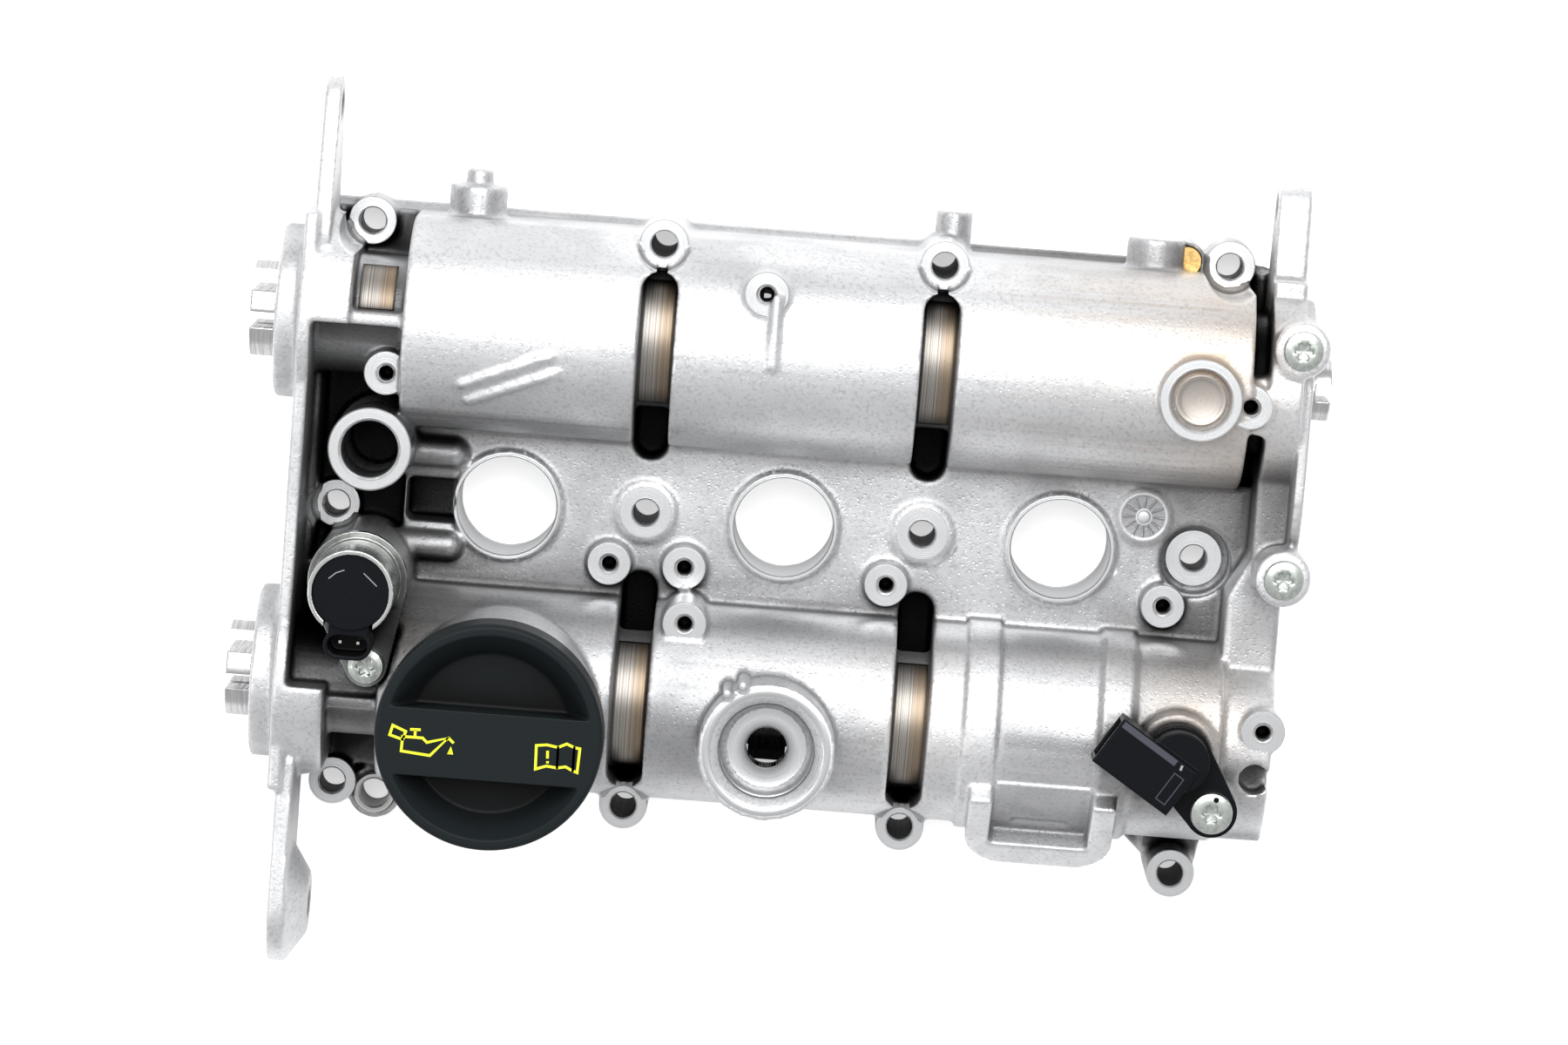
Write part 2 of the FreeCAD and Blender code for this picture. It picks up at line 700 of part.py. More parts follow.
def shaft_bores():
    """Bearing bores, seal pockets and the hole for the plug at the far end."""
    seal_x = timing_out_x - seal_housing_len
    cuts = []
    for side in (-1, 1):
        y = side * cam_y
        cuts.append(rod(y, cam_z, bearing_bore_r, seal_x - overrun, barrel_right_x + overrun))
        cuts.append(rod(y, cam_z, seal_pocket_r, seal_x - overrun, seal_x + seal_len))
    clear_r = bearing_bore_r + open_gap
    cuts.append(rod(cam_y, cam_z, clear_r, barrel_right_x, end_boss_x + end_boss_r + overrun))
    cuts.append(rod(cam_y, cam_z, output_seal_pocket_r, end_out_x + end_pad_t - seal_len,
                    end_out_x + end_pad_t + overrun))
    cuts.append(rod(-cam_y, cam_z, clear_r, barrel_right_x, end_out_x + overrun))
    cuts.append(rod(-cam_y, cam_z, end_plug_r, end_out_x - end_plug_t, end_out_x + overrun))
    return cuts


def screw_hole(x, y, seat_z):
    """Blind hole for a screw whose head sits at seat_z."""
    return post(x, y, screw_hole_r, seat_z - screw_shank_len - screw_hole_extra, seat_z + overrun)


def machined_cuts():
    """Slots, ports, screw holes and seats cut after casting."""
    cuts = []
    for x in (-half_pitch, half_pitch):
        cuts.append(bearing_slot(x, exhaust_slot_near, exhaust_slot_far))
        cuts.append(bearing_slot(x, intake_slot_near, -intake_slot_far))
    cuts.append(post(*mid_right_bolt, mid_right_pad_r, mid_right_pad_z, valley_top + overrun))
    for x, y, r, top in through_bolts():
        cuts.append(post(x, y, bolt_hole_r, -overrun, top + overrun))
        cuts.append(post(x, y, r + spot_face_gap, top, end_boss_top))
    for x, y, top, low in tapped_bosses():
        cuts.append(post(x, y, tap_hole_r, top - tap_depth, top + overrun))
    cuts.append(post(*sleeve_bolt, sleeve_r + seat_gap, -overrun, sleeve_boss_top + overrun))
    cuts.append(post(neck_x, neck_y, neck_bore_r, cam_z, neck_top + overrun))
    cuts.append(post(neck_x, neck_y, neck_seat_r, neck_top - neck_seat_depth, neck_top + overrun))
    cuts.append(post(0, port_y, port_hole_r, cam_z, port_top + overrun))
    cuts.append(post(0, port_y, port_seat_r, port_seat_z, port_top + overrun))
    cone_low = port_top - port_step_depth
    cuts.append(Part.makeCone(port_seat_r, port_step_r, port_step_depth + seat_gap, V(0, port_y, cone_low)))
    cuts.append(post(*core_pad, core_seat_r, core_pad_top - core_seat_depth, core_pad_top + overrun))
    cuts.append(post(*spare_tower, spare_bore_r, spare_bore_floor, tower_top + overrun))
    cuts.append(post(*valve_tower, valve_bore_r, valve_bore_floor, tower_top + overrun))
    cuts.append(screw_hole(*valve_screw, tower_top + valve_flange_t))
    room = hull_face(*valve_tower, valve_tower_r + valve_flange_room, *valve_screw,
                     valve_screw_boss_r + valve_flange_room)
    cuts.append(upright(room, tower_top, valve_can_top))
    cuts.append(post(*sensor_pos, sensor_bore_r, cam_z + wheel_r, sensor_boss_top + overrun))
    cuts.append(screw_hole(*sensor_screw, sensor_boss_top + sensor_flange_t))
    for y in end_boss_ys:
        cuts.append(screw_hole(end_boss_x, y, end_boss_top))
    cuts.append(post(*brass_pos, brass_r + seat_gap, deck_top, brass_top + overrun))
    cuts.append(box(pocket_x - pocket_half_x, pocket_x + pocket_half_x, -pocket_half_y, pocket_half_y,
                    pocket_floor, valley_top + overrun))
    for y in (rear_ear_y, front_ear_y):
        cuts.append(rod(y, ear_z, ear_hole_r, timing_out_x, timing_out_x + 2 * timing_land_t))
    cuts.append(post(end_out_x - end_pocket_r, end_pocket_y, end_pocket_r, end_pocket_floor, neck_top))
    cuts.append(rod(end_ear_y, end_ear_z, end_ear_hole_r, end_in_x - overrun, end_out_x + overrun))
    return cuts + saddle_cuts()


def casting():
    bosses = [post(x, y, r, 0, top) for x, y, r, top in through_bolts()]
    bosses += [post(x, y, tap_boss_r, low, top) for x, y, top, low in tapped_bosses()]
    solid = join([join(body_blocks()), join(bosses)]).fuse(join(raised_parts())).cut(join(hollows()))
    for group in (shaft_bores(), machined_cuts()):
        for tool in group:
            solid = solid.cut(tool)
    return solid


def star_recess(x, y, z):
    """Six-lobed star recess, cut down from z."""
    parts = [post(x, y, star_r, z - star_depth, z + overrun)]
    for i in range(star_lobes):
        spot = at_angle(x, y, star_r, i * 360 / star_lobes)
        parts.append(post(spot.x, spot.y, star_lobe_r, z - star_depth, z + overrun))
    return join(parts)


def star_screw(x, y, seat_z, head_r):
    """Pan-head screw standing in its hole, with its head on seat_z."""
    head = post(x, y, head_r, seat_z, seat_z + screw_head_h)
    mid = seat_z + screw_head_h / 2
    rim = [e for e in head.Edges if e.BoundBox.ZMin > mid and e.BoundBox.ZLength < seat_gap]
    head = head.makeChamfer(screw_head_h / 4, rim)
    shank = post(x, y, screw_shank_r, seat_z - screw_shank_len, seat_z + seat_gap)
    return join([head, shank]).cut(star_recess(x, y, seat_z + screw_head_h))


def lobe(side, x, angle):
    """Cam lobe pressed on its tube, its nose turned to the given angle about the shaft."""
    face = hull_face(0, 0, lobe_base_r, lobe_reach - lobe_nose_r, 0, lobe_nose_r)
    solid = along_x(face, x - lobe_width / 2, x + lobe_width / 2)
    solid = solid.cut(rod(0, 0, tube_r + seat_gap, x - lobe_width, x + lobe_width))
    solid.rotate(V(0, 0, 0), V(1, 0, 0), angle)
    solid.translate(V(0, side * cam_y, cam_z))
    return solid


def drive_end(side):
    """Timing end of a camshaft: journal, sealing neck and the notched drum that takes the drive."""
    y = side * cam_y
    seal_in_x = timing_out_x - seal_housing_len + seal_len
    neck_end = timing_out_x - seal_housing_len - open_gap
    parts = [rod(y, cam_z, bearing_r, seal_in_x + open_gap, tube_left_x)]
    parts.append(rod(y, cam_z, seal_journal_r, neck_end, seal_in_x + overrun))
    parts.append(rod(y, cam_z, drive_r, drive_end_x, neck_end))
    parts.append(rod(y, cam_z, tube_bore_r - seat_gap, tube_left_x - overrun, tube_left_x + spigot_len))
    solid = join(parts)
    for offset, width in drive_notches:
        solid = solid.cut(box(drive_end_x - overrun, drive_end_x + drive_notch_depth, y + offset - width / 2,
                              y + offset + width / 2, 0, 2 * cam_z))
    return solid.cut(rod(y, cam_z, drive_bolt_r, drive_end_x - overrun, drive_end_x + drive_bolt_depth))


def output_end():
    """Far end of the exhaust camshaft, which leaves the casting through a seal and ends in a slot."""
    journal_left = end_x - ring_width / 2
    pad_x = end_out_x + end_pad_t
    parts = [rod(cam_y, cam_z, bearing_r, journal_left, journal_left + ring_width)]
    parts.append(rod(cam_y, cam_z, output_neck_r, journal_left, pad_x))
    parts.append(rod(cam_y, cam_z, output_r, journal_left, output_end_x))
    parts.append(rod(cam_y, cam_z, tube_bore_r - seat_gap, journal_left - spigot_len, journal_left + overrun))
    slot = box(output_end_x - output_slot_depth, output_end_x + overrun, cam_y - output_slot_w / 2,
               cam_y + output_slot_w / 2, cam_z - 2 * output_r, cam_z + 2 * output_r)
    return join(parts).cut(slot)


def journal_rings(side, xs, widths):
    rings = [tube(side * cam_y, cam_z, bearing_r, tube_r + seat_gap, x - w / 2, x + w / 2)
             for x, w in zip(xs, widths)]
    return Part.makeCompound(rings)


def target_wheel():
    """Toothed disc on the intake camshaft that the position sensor reads."""
    y = -cam_y
    disc = rod(y, cam_z, wheel_r, wheel_x - wheel_t / 2, wheel_x + wheel_t / 2)
    hub = rod(y, cam_z, wheel_hub_r, wheel_x - wheel_hub_len, wheel_x)
    solid = join([disc, hub])
    for angle, width in wheel_gaps:
        gap = box(wheel_x - wheel_t, wheel_x + wheel_t, wheel_r - wheel_gap_depth, wheel_r + overrun,
                  -width / 2, width / 2)
        gap.rotate(V(0, 0, 0), V(1, 0, 0), angle)
        gap.translate(V(0, y, cam_z))
        solid = solid.cut(gap)
    return solid.cut(rod(y, cam_z, tube_r + seat_gap, wheel_x - 2 * wheel_hub_len, wheel_x + wheel_hub_len))


def pump_cam():
    """Three-cornered cam on the intake camshaft, below the machined port."""
    parts = []
    for i in range(pump_cam_lobes):
        face = hull_face(0, 0, pump_cam_base_r, pump_cam_reach - pump_cam_nose_r, 0, pump_cam_nose_r)
        one = along_x(face, -pump_cam_width / 2, pump_cam_width / 2)
        one.rotate(V(0, 0, 0), V(1, 0, 0), 90 + i * 360 / pump_cam_lobes)
        parts.append(one)
    solid = join(parts).cut(rod(0, 0, tube_r + seat_gap, -pump_cam_width, pump_cam_width))
    solid.translate(V(0, -cam_y, cam_z))
    return solid


def cap_grip():
    """Filler cap: a flat drum with a bar across it and a pocket with leaning walls at each side."""
    drum = post(neck_x, neck_y, cap_r, cap_skirt_z, cap_top)
    rim = [e for e in drum.Edges if e.BoundBox.ZMin > cap_top - cap_edge and e.BoundBox.ZLength < seat_gap]
    drum = drum.makeFillet(cap_edge, rim)
    depth = cap_top - cap_pocket_floor
    well = Part.makeCone(cap_pocket_low_r, cap_pocket_r, depth, V(neck_x, neck_y, cap_pocket_floor))
    bar_y = neck_y + cap_bar_shift
    bar = box(neck_x - cap_r, neck_x + cap_r, bar_y - cap_bar_width / 2, bar_y + cap_bar_width / 2,
              cap_skirt_z, cap_top + 2 * overrun)
    return drum.cut(well.cut(bar))


def cap_plug():
    """Stem of the filler cap that stands in the neck, with short lugs round it."""
    stem = pipe_up(neck_x, neck_y, plug_r - plug_lug_t, plug_bore_r, plug_low_z, cap_skirt_z)
    ring = pipe_up(neck_x, neck_y, plug_r, plug_bore_r, plug_low_z + plug_lug_t, plug_low_z + 3 * plug_lug_t)
    gaps = []
    for i in range(plug_thread_lugs):
        gap = box(0, 2 * plug_r, -plug_r / 4, plug_r / 4, plug_low_z, cap_skirt_z)
        gap = gap.cut(post(0, 0, plug_r - plug_lug_t, plug_low_z - overrun, cap_skirt_z + overrun))
        gap.rotate(V(0, 0, 0), V(0, 0, 1), i * 360 / plug_thread_lugs)
        gap.translate(V(neck_x, neck_y, 0))
        gaps.append(gap)
    return join([stem, ring.cut(join(gaps))])


def cap_seal():
    """Flat rubber ring under the cap, hanging in the neck's seat."""
    low = cap_skirt_z - cap_seal_t
    return pipe_up(neck_x, neck_y, neck_seat_r - open_gap, plug_r + open_gap, low, cap_skirt_z)


def valve_can():
    """Steel can of the solenoid valve, with its flange and the stem below it."""
    x, y = valve_tower
    flange_top = tower_top + valve_flange_t
    flange = upright(hull_face(x, y, valve_tower_r, *valve_screw, valve_screw_boss_r), tower_top, flange_top)
    can = post(x, y, valve_can_r, tower_top, valve_can_top)
    stem = post(x, y, valve_stem_r, valve_stem_low, tower_top + seat_gap)
    solid = join([flange, can, stem])
    rim_bore = valve_can_r - valve_rim_t
    solid = solid.cut(post(x, y, rim_bore, valve_can_top - valve_rim_depth, valve_can_top + overrun))
    neck = box(x - socket_half_x - seat_gap, x + socket_half_x + seat_gap, socket_y, y, socket_low - seat_gap,
               valve_can_top + overrun)
    keep_out = post(x, y, rim_bore, flange_top, valve_can_top + overrun)
    solid = solid.cut(neck.cut(keep_out))
    groove = pipe_up(x, y, valve_bore_r, valve_stem_r - wall / 2, tower_top - 2 * wall, tower_top - wall)
    return solid.cut(groove).cut(screw_hole(*valve_screw, flange_top))


def valve_cap():
    """Black plastic top of the solenoid valve, with the connector socket on its front."""
    x, y = valve_tower
    disc_low = valve_can_top - valve_rim_depth + seat_gap
    disc = post(x, y, valve_can_r - valve_rim_t - seat_gap, disc_low, valve_can_top - valve_disc_drop)
    turn = socket_half_x - socket_half_y
    outline = hull_face(x - turn, socket_y, socket_half_y, x + turn, socket_y, socket_half_y - seat_gap)
    shell = upright(outline, socket_low, socket_top)
    neck = box(x - socket_half_x + socket_wall, x + socket_half_x - socket_wall, socket_y, y,
               socket_top - wall, socket_top)
    neck = neck.cut(post(x, y, valve_can_r - valve_rim_t - seat_gap, 0, disc_low))
    inner_r = socket_half_y - socket_wall
    mouth = upright(hull_face(x - turn, socket_y, inner_r, x + turn, socket_y, inner_r - seat_gap),
                    socket_floor, socket_top + overrun)
    return join([disc, shell, neck]).cut(mouth)


def valve_pins():
    pins = []
    for side in (-1, 1):
        x = valve_tower[0] + side * socket_pin_dx
        half = socket_pin_w / 2
        pins.append(box(x - half, x + half, socket_y - half, socket_y + half, socket_floor, socket_pin_top))
    return Part.makeCompound(pins)


def sensor_frame(shape):
    """Carry a shape drawn from the sensor screw along +X to its place on the cover."""
    shape.rotate(V(0, 0, 0), V(0, 0, 1), sensor_angle)
    shape.translate(V(*sensor_screw, 0))
    return shape


def sensor_body():
    """Plastic camshaft sensor: flange, barrel reaching down to the wheel and angled connector box."""
    top = sensor_boss_top + sensor_flange_t
    outline = hull_face(*sensor_pos, sensor_flange_r, *sensor_screw, sensor_screw_r)
    flange = upright(outline, sensor_boss_top, top)
    tip = cam_z + wheel_r + sensor_air_gap
    stem = post(*sensor_pos, sensor_barrel_r, tip, top)
    dome = post(*sensor_pos, sensor_barrel_r, top, sensor_box_top - sensor_box_wall)
    case = box(sensor_box_start + sensor_head_r, sensor_box_end, -sensor_box_half, sensor_box_half,
               sensor_box_low, sensor_box_top)
    w = sensor_box_wall
    mouth = box(sensor_box_end - sensor_socket_depth, sensor_box_end + overrun, -sensor_box_half + w,
                sensor_box_half - w, sensor_box_low + w, sensor_box_top - w)
    head_room = post(*sensor_screw, sensor_head_r + seat_gap, top, sensor_box_top + overrun)
    groove = pipe_up(*sensor_pos, sensor_bore_r, sensor_barrel_r - wall / 2, sensor_boss_top - wall,
                     sensor_boss_top - wall / 2)
    solid = join([flange, stem, dome, sensor_frame(case)]).cut(sensor_frame(mouth))
    return solid.cut(screw_hole(*sensor_screw, top)).cut(head_room).cut(groove)


def sensor_pins():
    pins = []
    mid_z = (sensor_box_low + sensor_box_top) / 2
    floor = sensor_box_end - sensor_socket_depth
    half = sensor_pin_w / 2
    for i in (-1, 0, 1):
        y = i * sensor_pin_pitch
        pin = box(floor, floor + sensor_pin_len, y - half, y + half, mid_z - half, mid_z + half)
        pins.append(sensor_frame(pin))
    return Part.makeCompound(pins)


def core_plug():
    """Dished steel plug in the pad on the exhaust barrel."""
    z0 = core_pad_top - core_seat_depth
    disc = post(*core_pad, core_plug_r, z0, z0 + core_plug_t)
    plug_top = z0 + core_plug_t
    return disc.cut(post(*core_pad, core_dish_r, plug_top - core_dish_depth, plug_top + overrun))


def brass_plug():
    x, y = brass_pos
    disc = post(x, y, brass_r, deck_top, brass_top + overrun)
    half = brass_slot_w / 2
    return disc.cut(box(x - brass_r, x + brass_r, y - half, y + half, brass_top + overrun - brass_slot_depth,
                        brass_top + 2 * overrun))


def end_plug():
    """Dished steel plug behind the intake camshaft."""
    return rod(-cam_y, cam_z, end_plug_r - seat_gap, end_out_x - end_plug_t, end_out_x - end_plug_t / 3)


def all_nodes():
    nodes = {"cover_casting": casting()}
    seal_x = timing_out_x - seal_housing_len
    for name, side in (("intake", -1), ("exhaust", 1)):
        y = side * cam_y
        nodes[name + "_timing_seal"] = tube(y, cam_z, seal_pocket_r - seat_gap, seal_journal_r + running_gap,
                                            seal_x, seal_x + seal_len)
        nodes[name + "_drive_end"] = drive_end(side)
    journal_left = end_x - ring_width / 2
    nodes["exhaust_tube"] = tube(cam_y, cam_z, tube_r, tube_bore_r, tube_left_x, journal_left)
    nodes["intake_tube"] = tube(-cam_y, cam_z, tube_r, tube_bore_r, tube_left_x, tube_right_x)
    nodes["exhaust_journals"] = journal_rings(1, (-half_pitch, half_pitch), (ring_width, ring_width))
    last_w = barrel_right_x - intake_last_bearing_x
    last_x = (barrel_right_x + intake_last_bearing_x) / 2
    widths = (ring_width, ring_width, last_w)
    nodes["intake_journals"] = journal_rings(-1, (-half_pitch, half_pitch, last_x), widths)
    nodes["exhaust_output_end"] = output_end()
    pad_x = end_out_x + end_pad_t
    nodes["output_seal"] = tube(cam_y, cam_z, output_seal_pocket_r - seat_gap, output_neck_r + running_gap,
                                pad_x - seal_len, pad_x)
    for name, side, first in (("intake", -1, intake_first_angle), ("exhaust", 1, exhaust_first_angle)):
        number = 0
        for k, x in enumerate(cylinder_x):
            for shift in (-lobe_offset, lobe_offset):
                number += 1
                nodes[f"{name}_lobe_{number}"] = lobe(side, x + shift, first + k * firing_step)
    nodes["target_wheel"] = target_wheel()
    nodes["pump_cam"] = pump_cam()
    nodes["end_plug"] = end_plug()
    nodes["core_plug"] = core_plug()
    nodes["brass_plug"] = brass_plug()
    nodes["locating_sleeve"] = pipe_up(*sleeve_bolt, sleeve_r, sleeve_bore_r, 0, sleeve_top)
    nodes["cap_grip"] = cap_grip()
    nodes["cap_plug"] = cap_plug()
    nodes["cap_seal"] = cap_seal()
    nodes["valve_can"] = valve_can()
    nodes["valve_cap"] = valve_cap()
    nodes["valve_pins"] = valve_pins()
    nodes["valve_o_ring"] = pipe_up(*valve_tower, valve_bore_r - seat_gap, valve_stem_r - wall / 2 + seat_gap,
                                    tower_top - 2 * wall + seat_gap, tower_top - wall - seat_gap)
    nodes["valve_screw"] = star_screw(*valve_screw, tower_top + valve_flange_t, screw_head_r)
    nodes["sensor_body"] = sensor_body()
    nodes["sensor_pins"] = sensor_pins()
    groove_r = sensor_barrel_r - wall / 2 + seat_gap
    ring_low, ring_high = sensor_boss_top - wall + seat_gap, sensor_boss_top - wall / 2 - seat_gap
    nodes["sensor_o_ring"] = pipe_up(*sensor_pos, sensor_bore_r - seat_gap, groove_r, ring_low, ring_high)
    nodes["sensor_screw"] = star_screw(*sensor_screw, sensor_boss_top + sensor_flange_t, sensor_head_r)
    heads = [star_screw(end_boss_x, y, end_boss_top, gallery_head_r) for y in end_boss_ys]
    nodes["gallery_screws"] = Part.makeCompound(heads)
    return nodes


os.makedirs("parts", exist_ok=True)
for node, shape in all_nodes().items():
    shape.exportStep(f"parts/{node}.step")
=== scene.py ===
# %% [markdown]
# # Engine valve cover, dressed for its picture
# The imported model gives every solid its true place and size. This lesson keeps those places and gives the
# parts their looks: soft cast edges, turned rings, threads, a printed cap and metals that look like
# metals. The sizes of the pieces are written in millimetres and scaled once to the scene's metres. Lamps
# and camera are placed in metres.

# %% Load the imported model
import json
import math
import bpy
import bmesh
import numpy as np
from mathutils import Matrix, Vector

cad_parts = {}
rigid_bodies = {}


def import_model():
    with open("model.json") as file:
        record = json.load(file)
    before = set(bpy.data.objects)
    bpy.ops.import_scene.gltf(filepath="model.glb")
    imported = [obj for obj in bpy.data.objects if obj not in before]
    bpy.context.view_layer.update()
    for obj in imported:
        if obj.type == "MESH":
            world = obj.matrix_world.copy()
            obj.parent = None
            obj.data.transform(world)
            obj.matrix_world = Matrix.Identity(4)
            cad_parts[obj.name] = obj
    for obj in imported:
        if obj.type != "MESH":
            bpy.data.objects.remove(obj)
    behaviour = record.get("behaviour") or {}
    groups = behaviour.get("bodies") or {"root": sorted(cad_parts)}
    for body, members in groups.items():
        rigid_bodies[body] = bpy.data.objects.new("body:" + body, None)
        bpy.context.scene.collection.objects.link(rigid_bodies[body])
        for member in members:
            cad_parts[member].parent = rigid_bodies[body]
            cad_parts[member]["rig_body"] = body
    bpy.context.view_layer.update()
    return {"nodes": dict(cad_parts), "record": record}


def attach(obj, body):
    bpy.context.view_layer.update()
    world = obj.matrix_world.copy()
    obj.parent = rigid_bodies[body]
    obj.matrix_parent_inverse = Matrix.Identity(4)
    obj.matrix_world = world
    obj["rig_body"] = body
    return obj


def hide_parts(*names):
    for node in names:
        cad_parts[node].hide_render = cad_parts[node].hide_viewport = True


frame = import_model()
nodes = frame["nodes"]
MM = 0.001

# %% [markdown]
# ## From points to pieces
# Every new piece is a mesh whose points numpy works out. Blender's own primitives and edits could make it
# too, but a formula says the shape in one place and is easy to change. The object stays at the origin, so
# the points stand where the real ones do, and it rides on one body of the model. A number may be kept for
# each point, such as the radius of a cutter's mark, for the material to read later.


# %% Make a mesh and place it
def store(mesh, label, values):
    """Keep one number for each point of the mesh, for its material to read."""
    layer = mesh.attributes.get(label) or mesh.attributes.new(label, "FLOAT", "POINT")
    layer.data.foreach_set("value", np.asarray(values, np.float32))


def merge_doubles(mesh):
    """Join points that lie in one place, which closes seams and turns the faces at a pole into triangles."""
    work = bmesh.new()
    work.from_mesh(mesh)
    bmesh.ops.remove_doubles(work, verts=work.verts, dist=1e-6)
    work.to_mesh(mesh)
    work.free()


def mesh_of(name, points, faces, angle=35.0, attributes=None):
    """Mesh from an array of points in millimetres and an array of faces, smooth below the given angle."""
    mesh = bpy.data.meshes.new(name)
    mesh.from_pydata((points * MM).tolist(), [], faces.tolist())
    for label, values in (attributes or {}).items():
        store(mesh, label, values)
    merge_doubles(mesh)
    mesh.polygons.foreach_set("use_smooth", np.ones(len(mesh.polygons), dtype=bool))
    mesh.set_sharp_from_angle(angle=math.radians(angle))
    mesh.update()
    return mesh


def link_mesh(mesh, name, body, material, replaced=()):
    """Put a finished mesh into the scene, give it its finish and let it ride on its body."""
    piece = bpy.data.objects.new(name, mesh)
    bpy.context.scene.collection.objects.link(piece)
    mesh.materials.clear()
    mesh.materials.append(material)
    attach(piece, body)
    if replaced:
        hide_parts(*replaced)
    print(f"{name}: {len(mesh.vertices)} points, {len(mesh.polygons)} faces")
    return piece


# %% [markdown]
# A grid of points needs no list of faces. Rows run along a profile and columns run round it, so four
# neighbours always make one face, and a grid is closed by joining its last row or column to its first. The
# volume that the faces enclose tells whether they look outwards. If it comes out negative, they are
# turned.


# %% Faces of a grid
def grid_faces(rows, columns, close_rows=False, close_columns=True):
    """Four-cornered faces between neighbouring rows and columns, joined end to end where asked."""
    i = np.arange(rows if close_rows else rows - 1)[:, None]
    j = np.arange(columns if close_columns else columns - 1)[None, :]
    k, m = (i + 1) % rows, (j + 1) % columns
    corners = [i * columns + j, i * columns + m, k * columns + m, k * columns + j]
    return np.stack(corners, axis=-1).reshape(-1, 4)


def outward(points, faces):
    """Turn every face round when the sum of the corners' triple products, the volume, is negative."""
    a, b, c, d = (points[faces[:, k]] for k in range(4))
    volume = np.einsum("ij,ij->", a, np.cross(b, c) + np.cross(c, d))
    return faces if volume > 0 else faces[:, ::-1]


def gather(parts):
    """Join several (points, faces, values) triples into one."""
    shift = np.cumsum([0] + [len(p[0]) for p in parts[:-1]])
    points = np.concatenate([p[0] for p in parts])
    faces = np.concatenate([p[1] + s for p, s in zip(parts, shift)])
    return points, faces, np.concatenate([p[2] for p in parts], axis=-1)


# %% [markdown]
# Rings, sleeves and plugs are turned on a lathe, so they are all one shape: a closed profile carried round
# an axis. Blender's Screw modifier can do that with a round part, but here the radius may also change with
# the angle. That gives a thread when it changes along a helix, and a star when it changes in six waves.


# %% The lathe
def turned(r, h, cx, cy, cz=0.0, segments=64, axis="z"):
    """Profile carried round an axis. A point is the centre plus radius times cosine and sine of the angle,
    raised by the height. r and h may be lists along the profile or arrays of profile by angle. A profile that
    begins on the axis ends there too, and any other is closed into a ring. The values kept are the radius and
    a painted shade on the bore's wall, from how deep a point lies in it, as a share of about twice its
    radius."""
    angle = np.linspace(0, 2 * math.pi, segments, endpoint=False)
    r, h = np.asarray(r, float), np.asarray(h, float)
    r = r[:, None] * np.ones(segments) if r.ndim == 1 else r
    h = h[:, None] * np.ones(segments) if h.ndim == 1 else h
    a, b = r * np.cos(angle), r * np.sin(angle)
    xyz = [a + cx, b + cy, h + cz] if axis == "z" else [h + cx, a + cy, b + cz]
    xyz = np.stack(xyz, axis=-1).reshape(-1, 3)
    solid = r[0].max() == 0
    # Painted shade: walls near the bore's radius darken the deeper they lie below the top.
    deep = np.clip((h.max() - h) / (2.2 * r.min() + 0.5) - 0.15, 0, 1) * (r < r.min() + 0.8) * (not solid)
    faces = outward(xyz, grid_faces(len(r), segments, close_rows=not solid))
    return xyz, faces, np.stack([r.ravel(), deep.ravel()])


def turned_piece(name, body, material, parts, replaced=(), angle=35.0):
    """Gather turned shapes into one piece that carries the radius and the painted shade of its bores."""
    points, faces, values = gather(parts)
    mesh = mesh_of(name, points, faces, angle, {"radius": values[0], "depth": values[1]})
    return link_mesh(mesh, name, body, material, replaced)


# %% [markdown]
# ## Finishes
# A material is a small tree of nodes. Building one by hand means many clicks, and building it in code
# means many lines, so a few helpers keep each finish short: one makes a node, one feeds its inputs, and
# the others are the four steps that nearly every finish uses.


# %% Node helpers
def node(tree, kind, **settings):
    """One node of the given kind, with its settings made."""
    new = tree.nodes.new("ShaderNode" + kind)
    for key, value in settings.items():
        setattr(new, key, value)
    return new


def set_or_link(tree, socket, source):
    """A constant goes onto the socket itself, and anything else is another node's socket to join."""
    if isinstance(source, (int, float, tuple)):
        socket.default_value = source
    else:
        tree.links.new(source, socket)


def feed(tree, target, *sources):
    """Give each source to the target node's inputs in turn, and hand back its first output."""
    for socket, source in zip(target.inputs, sources):
        set_or_link(tree, socket, source)
    return target.outputs[0]


def maths(tree, operation, *sources):
    """One step of arithmetic. The multiply and add step is held between 0 and 1."""
    step = node(tree, "Math", operation=operation, use_clamp=operation == "MULTIPLY_ADD")
    return feed(tree, step, *sources)


def ramp(tree, source, low, high):
    """0 below low, 1 above high, and a smooth step between."""
    step = node(tree, "MapRange", interpolation_type="SMOOTHSTEP")
    return feed(tree, step, source, low, high, 0.0, 1.0)


def blend_colours(tree, factor, a, b):
    """Colour a where the factor is 0, colour b where it is 1, and their mixture between."""
    mix = node(tree, "Mix", data_type="RGBA")
    for label, source in (("Factor_Float", factor), ("A_Color", a), ("B_Color", b)):
        set_or_link(tree, next(s for s in mix.inputs if s.identifier == label), source)
    return next(s for s in mix.outputs if s.identifier == "Result_Color")


def noise(tree, where, scale, detail, dimensions="3D"):
    """Noise over a place or, in one dimension, along a number."""
    new = node(tree, "TexNoise", noise_dimensions=dimensions)
    set_or_link(tree, new.inputs["W" if dimensions == "1D" else "Vector"], where)
    set_or_link(tree, new.inputs["Scale"], scale)
    new.inputs["Detail"].default_value = detail
    return new.outputs[0]
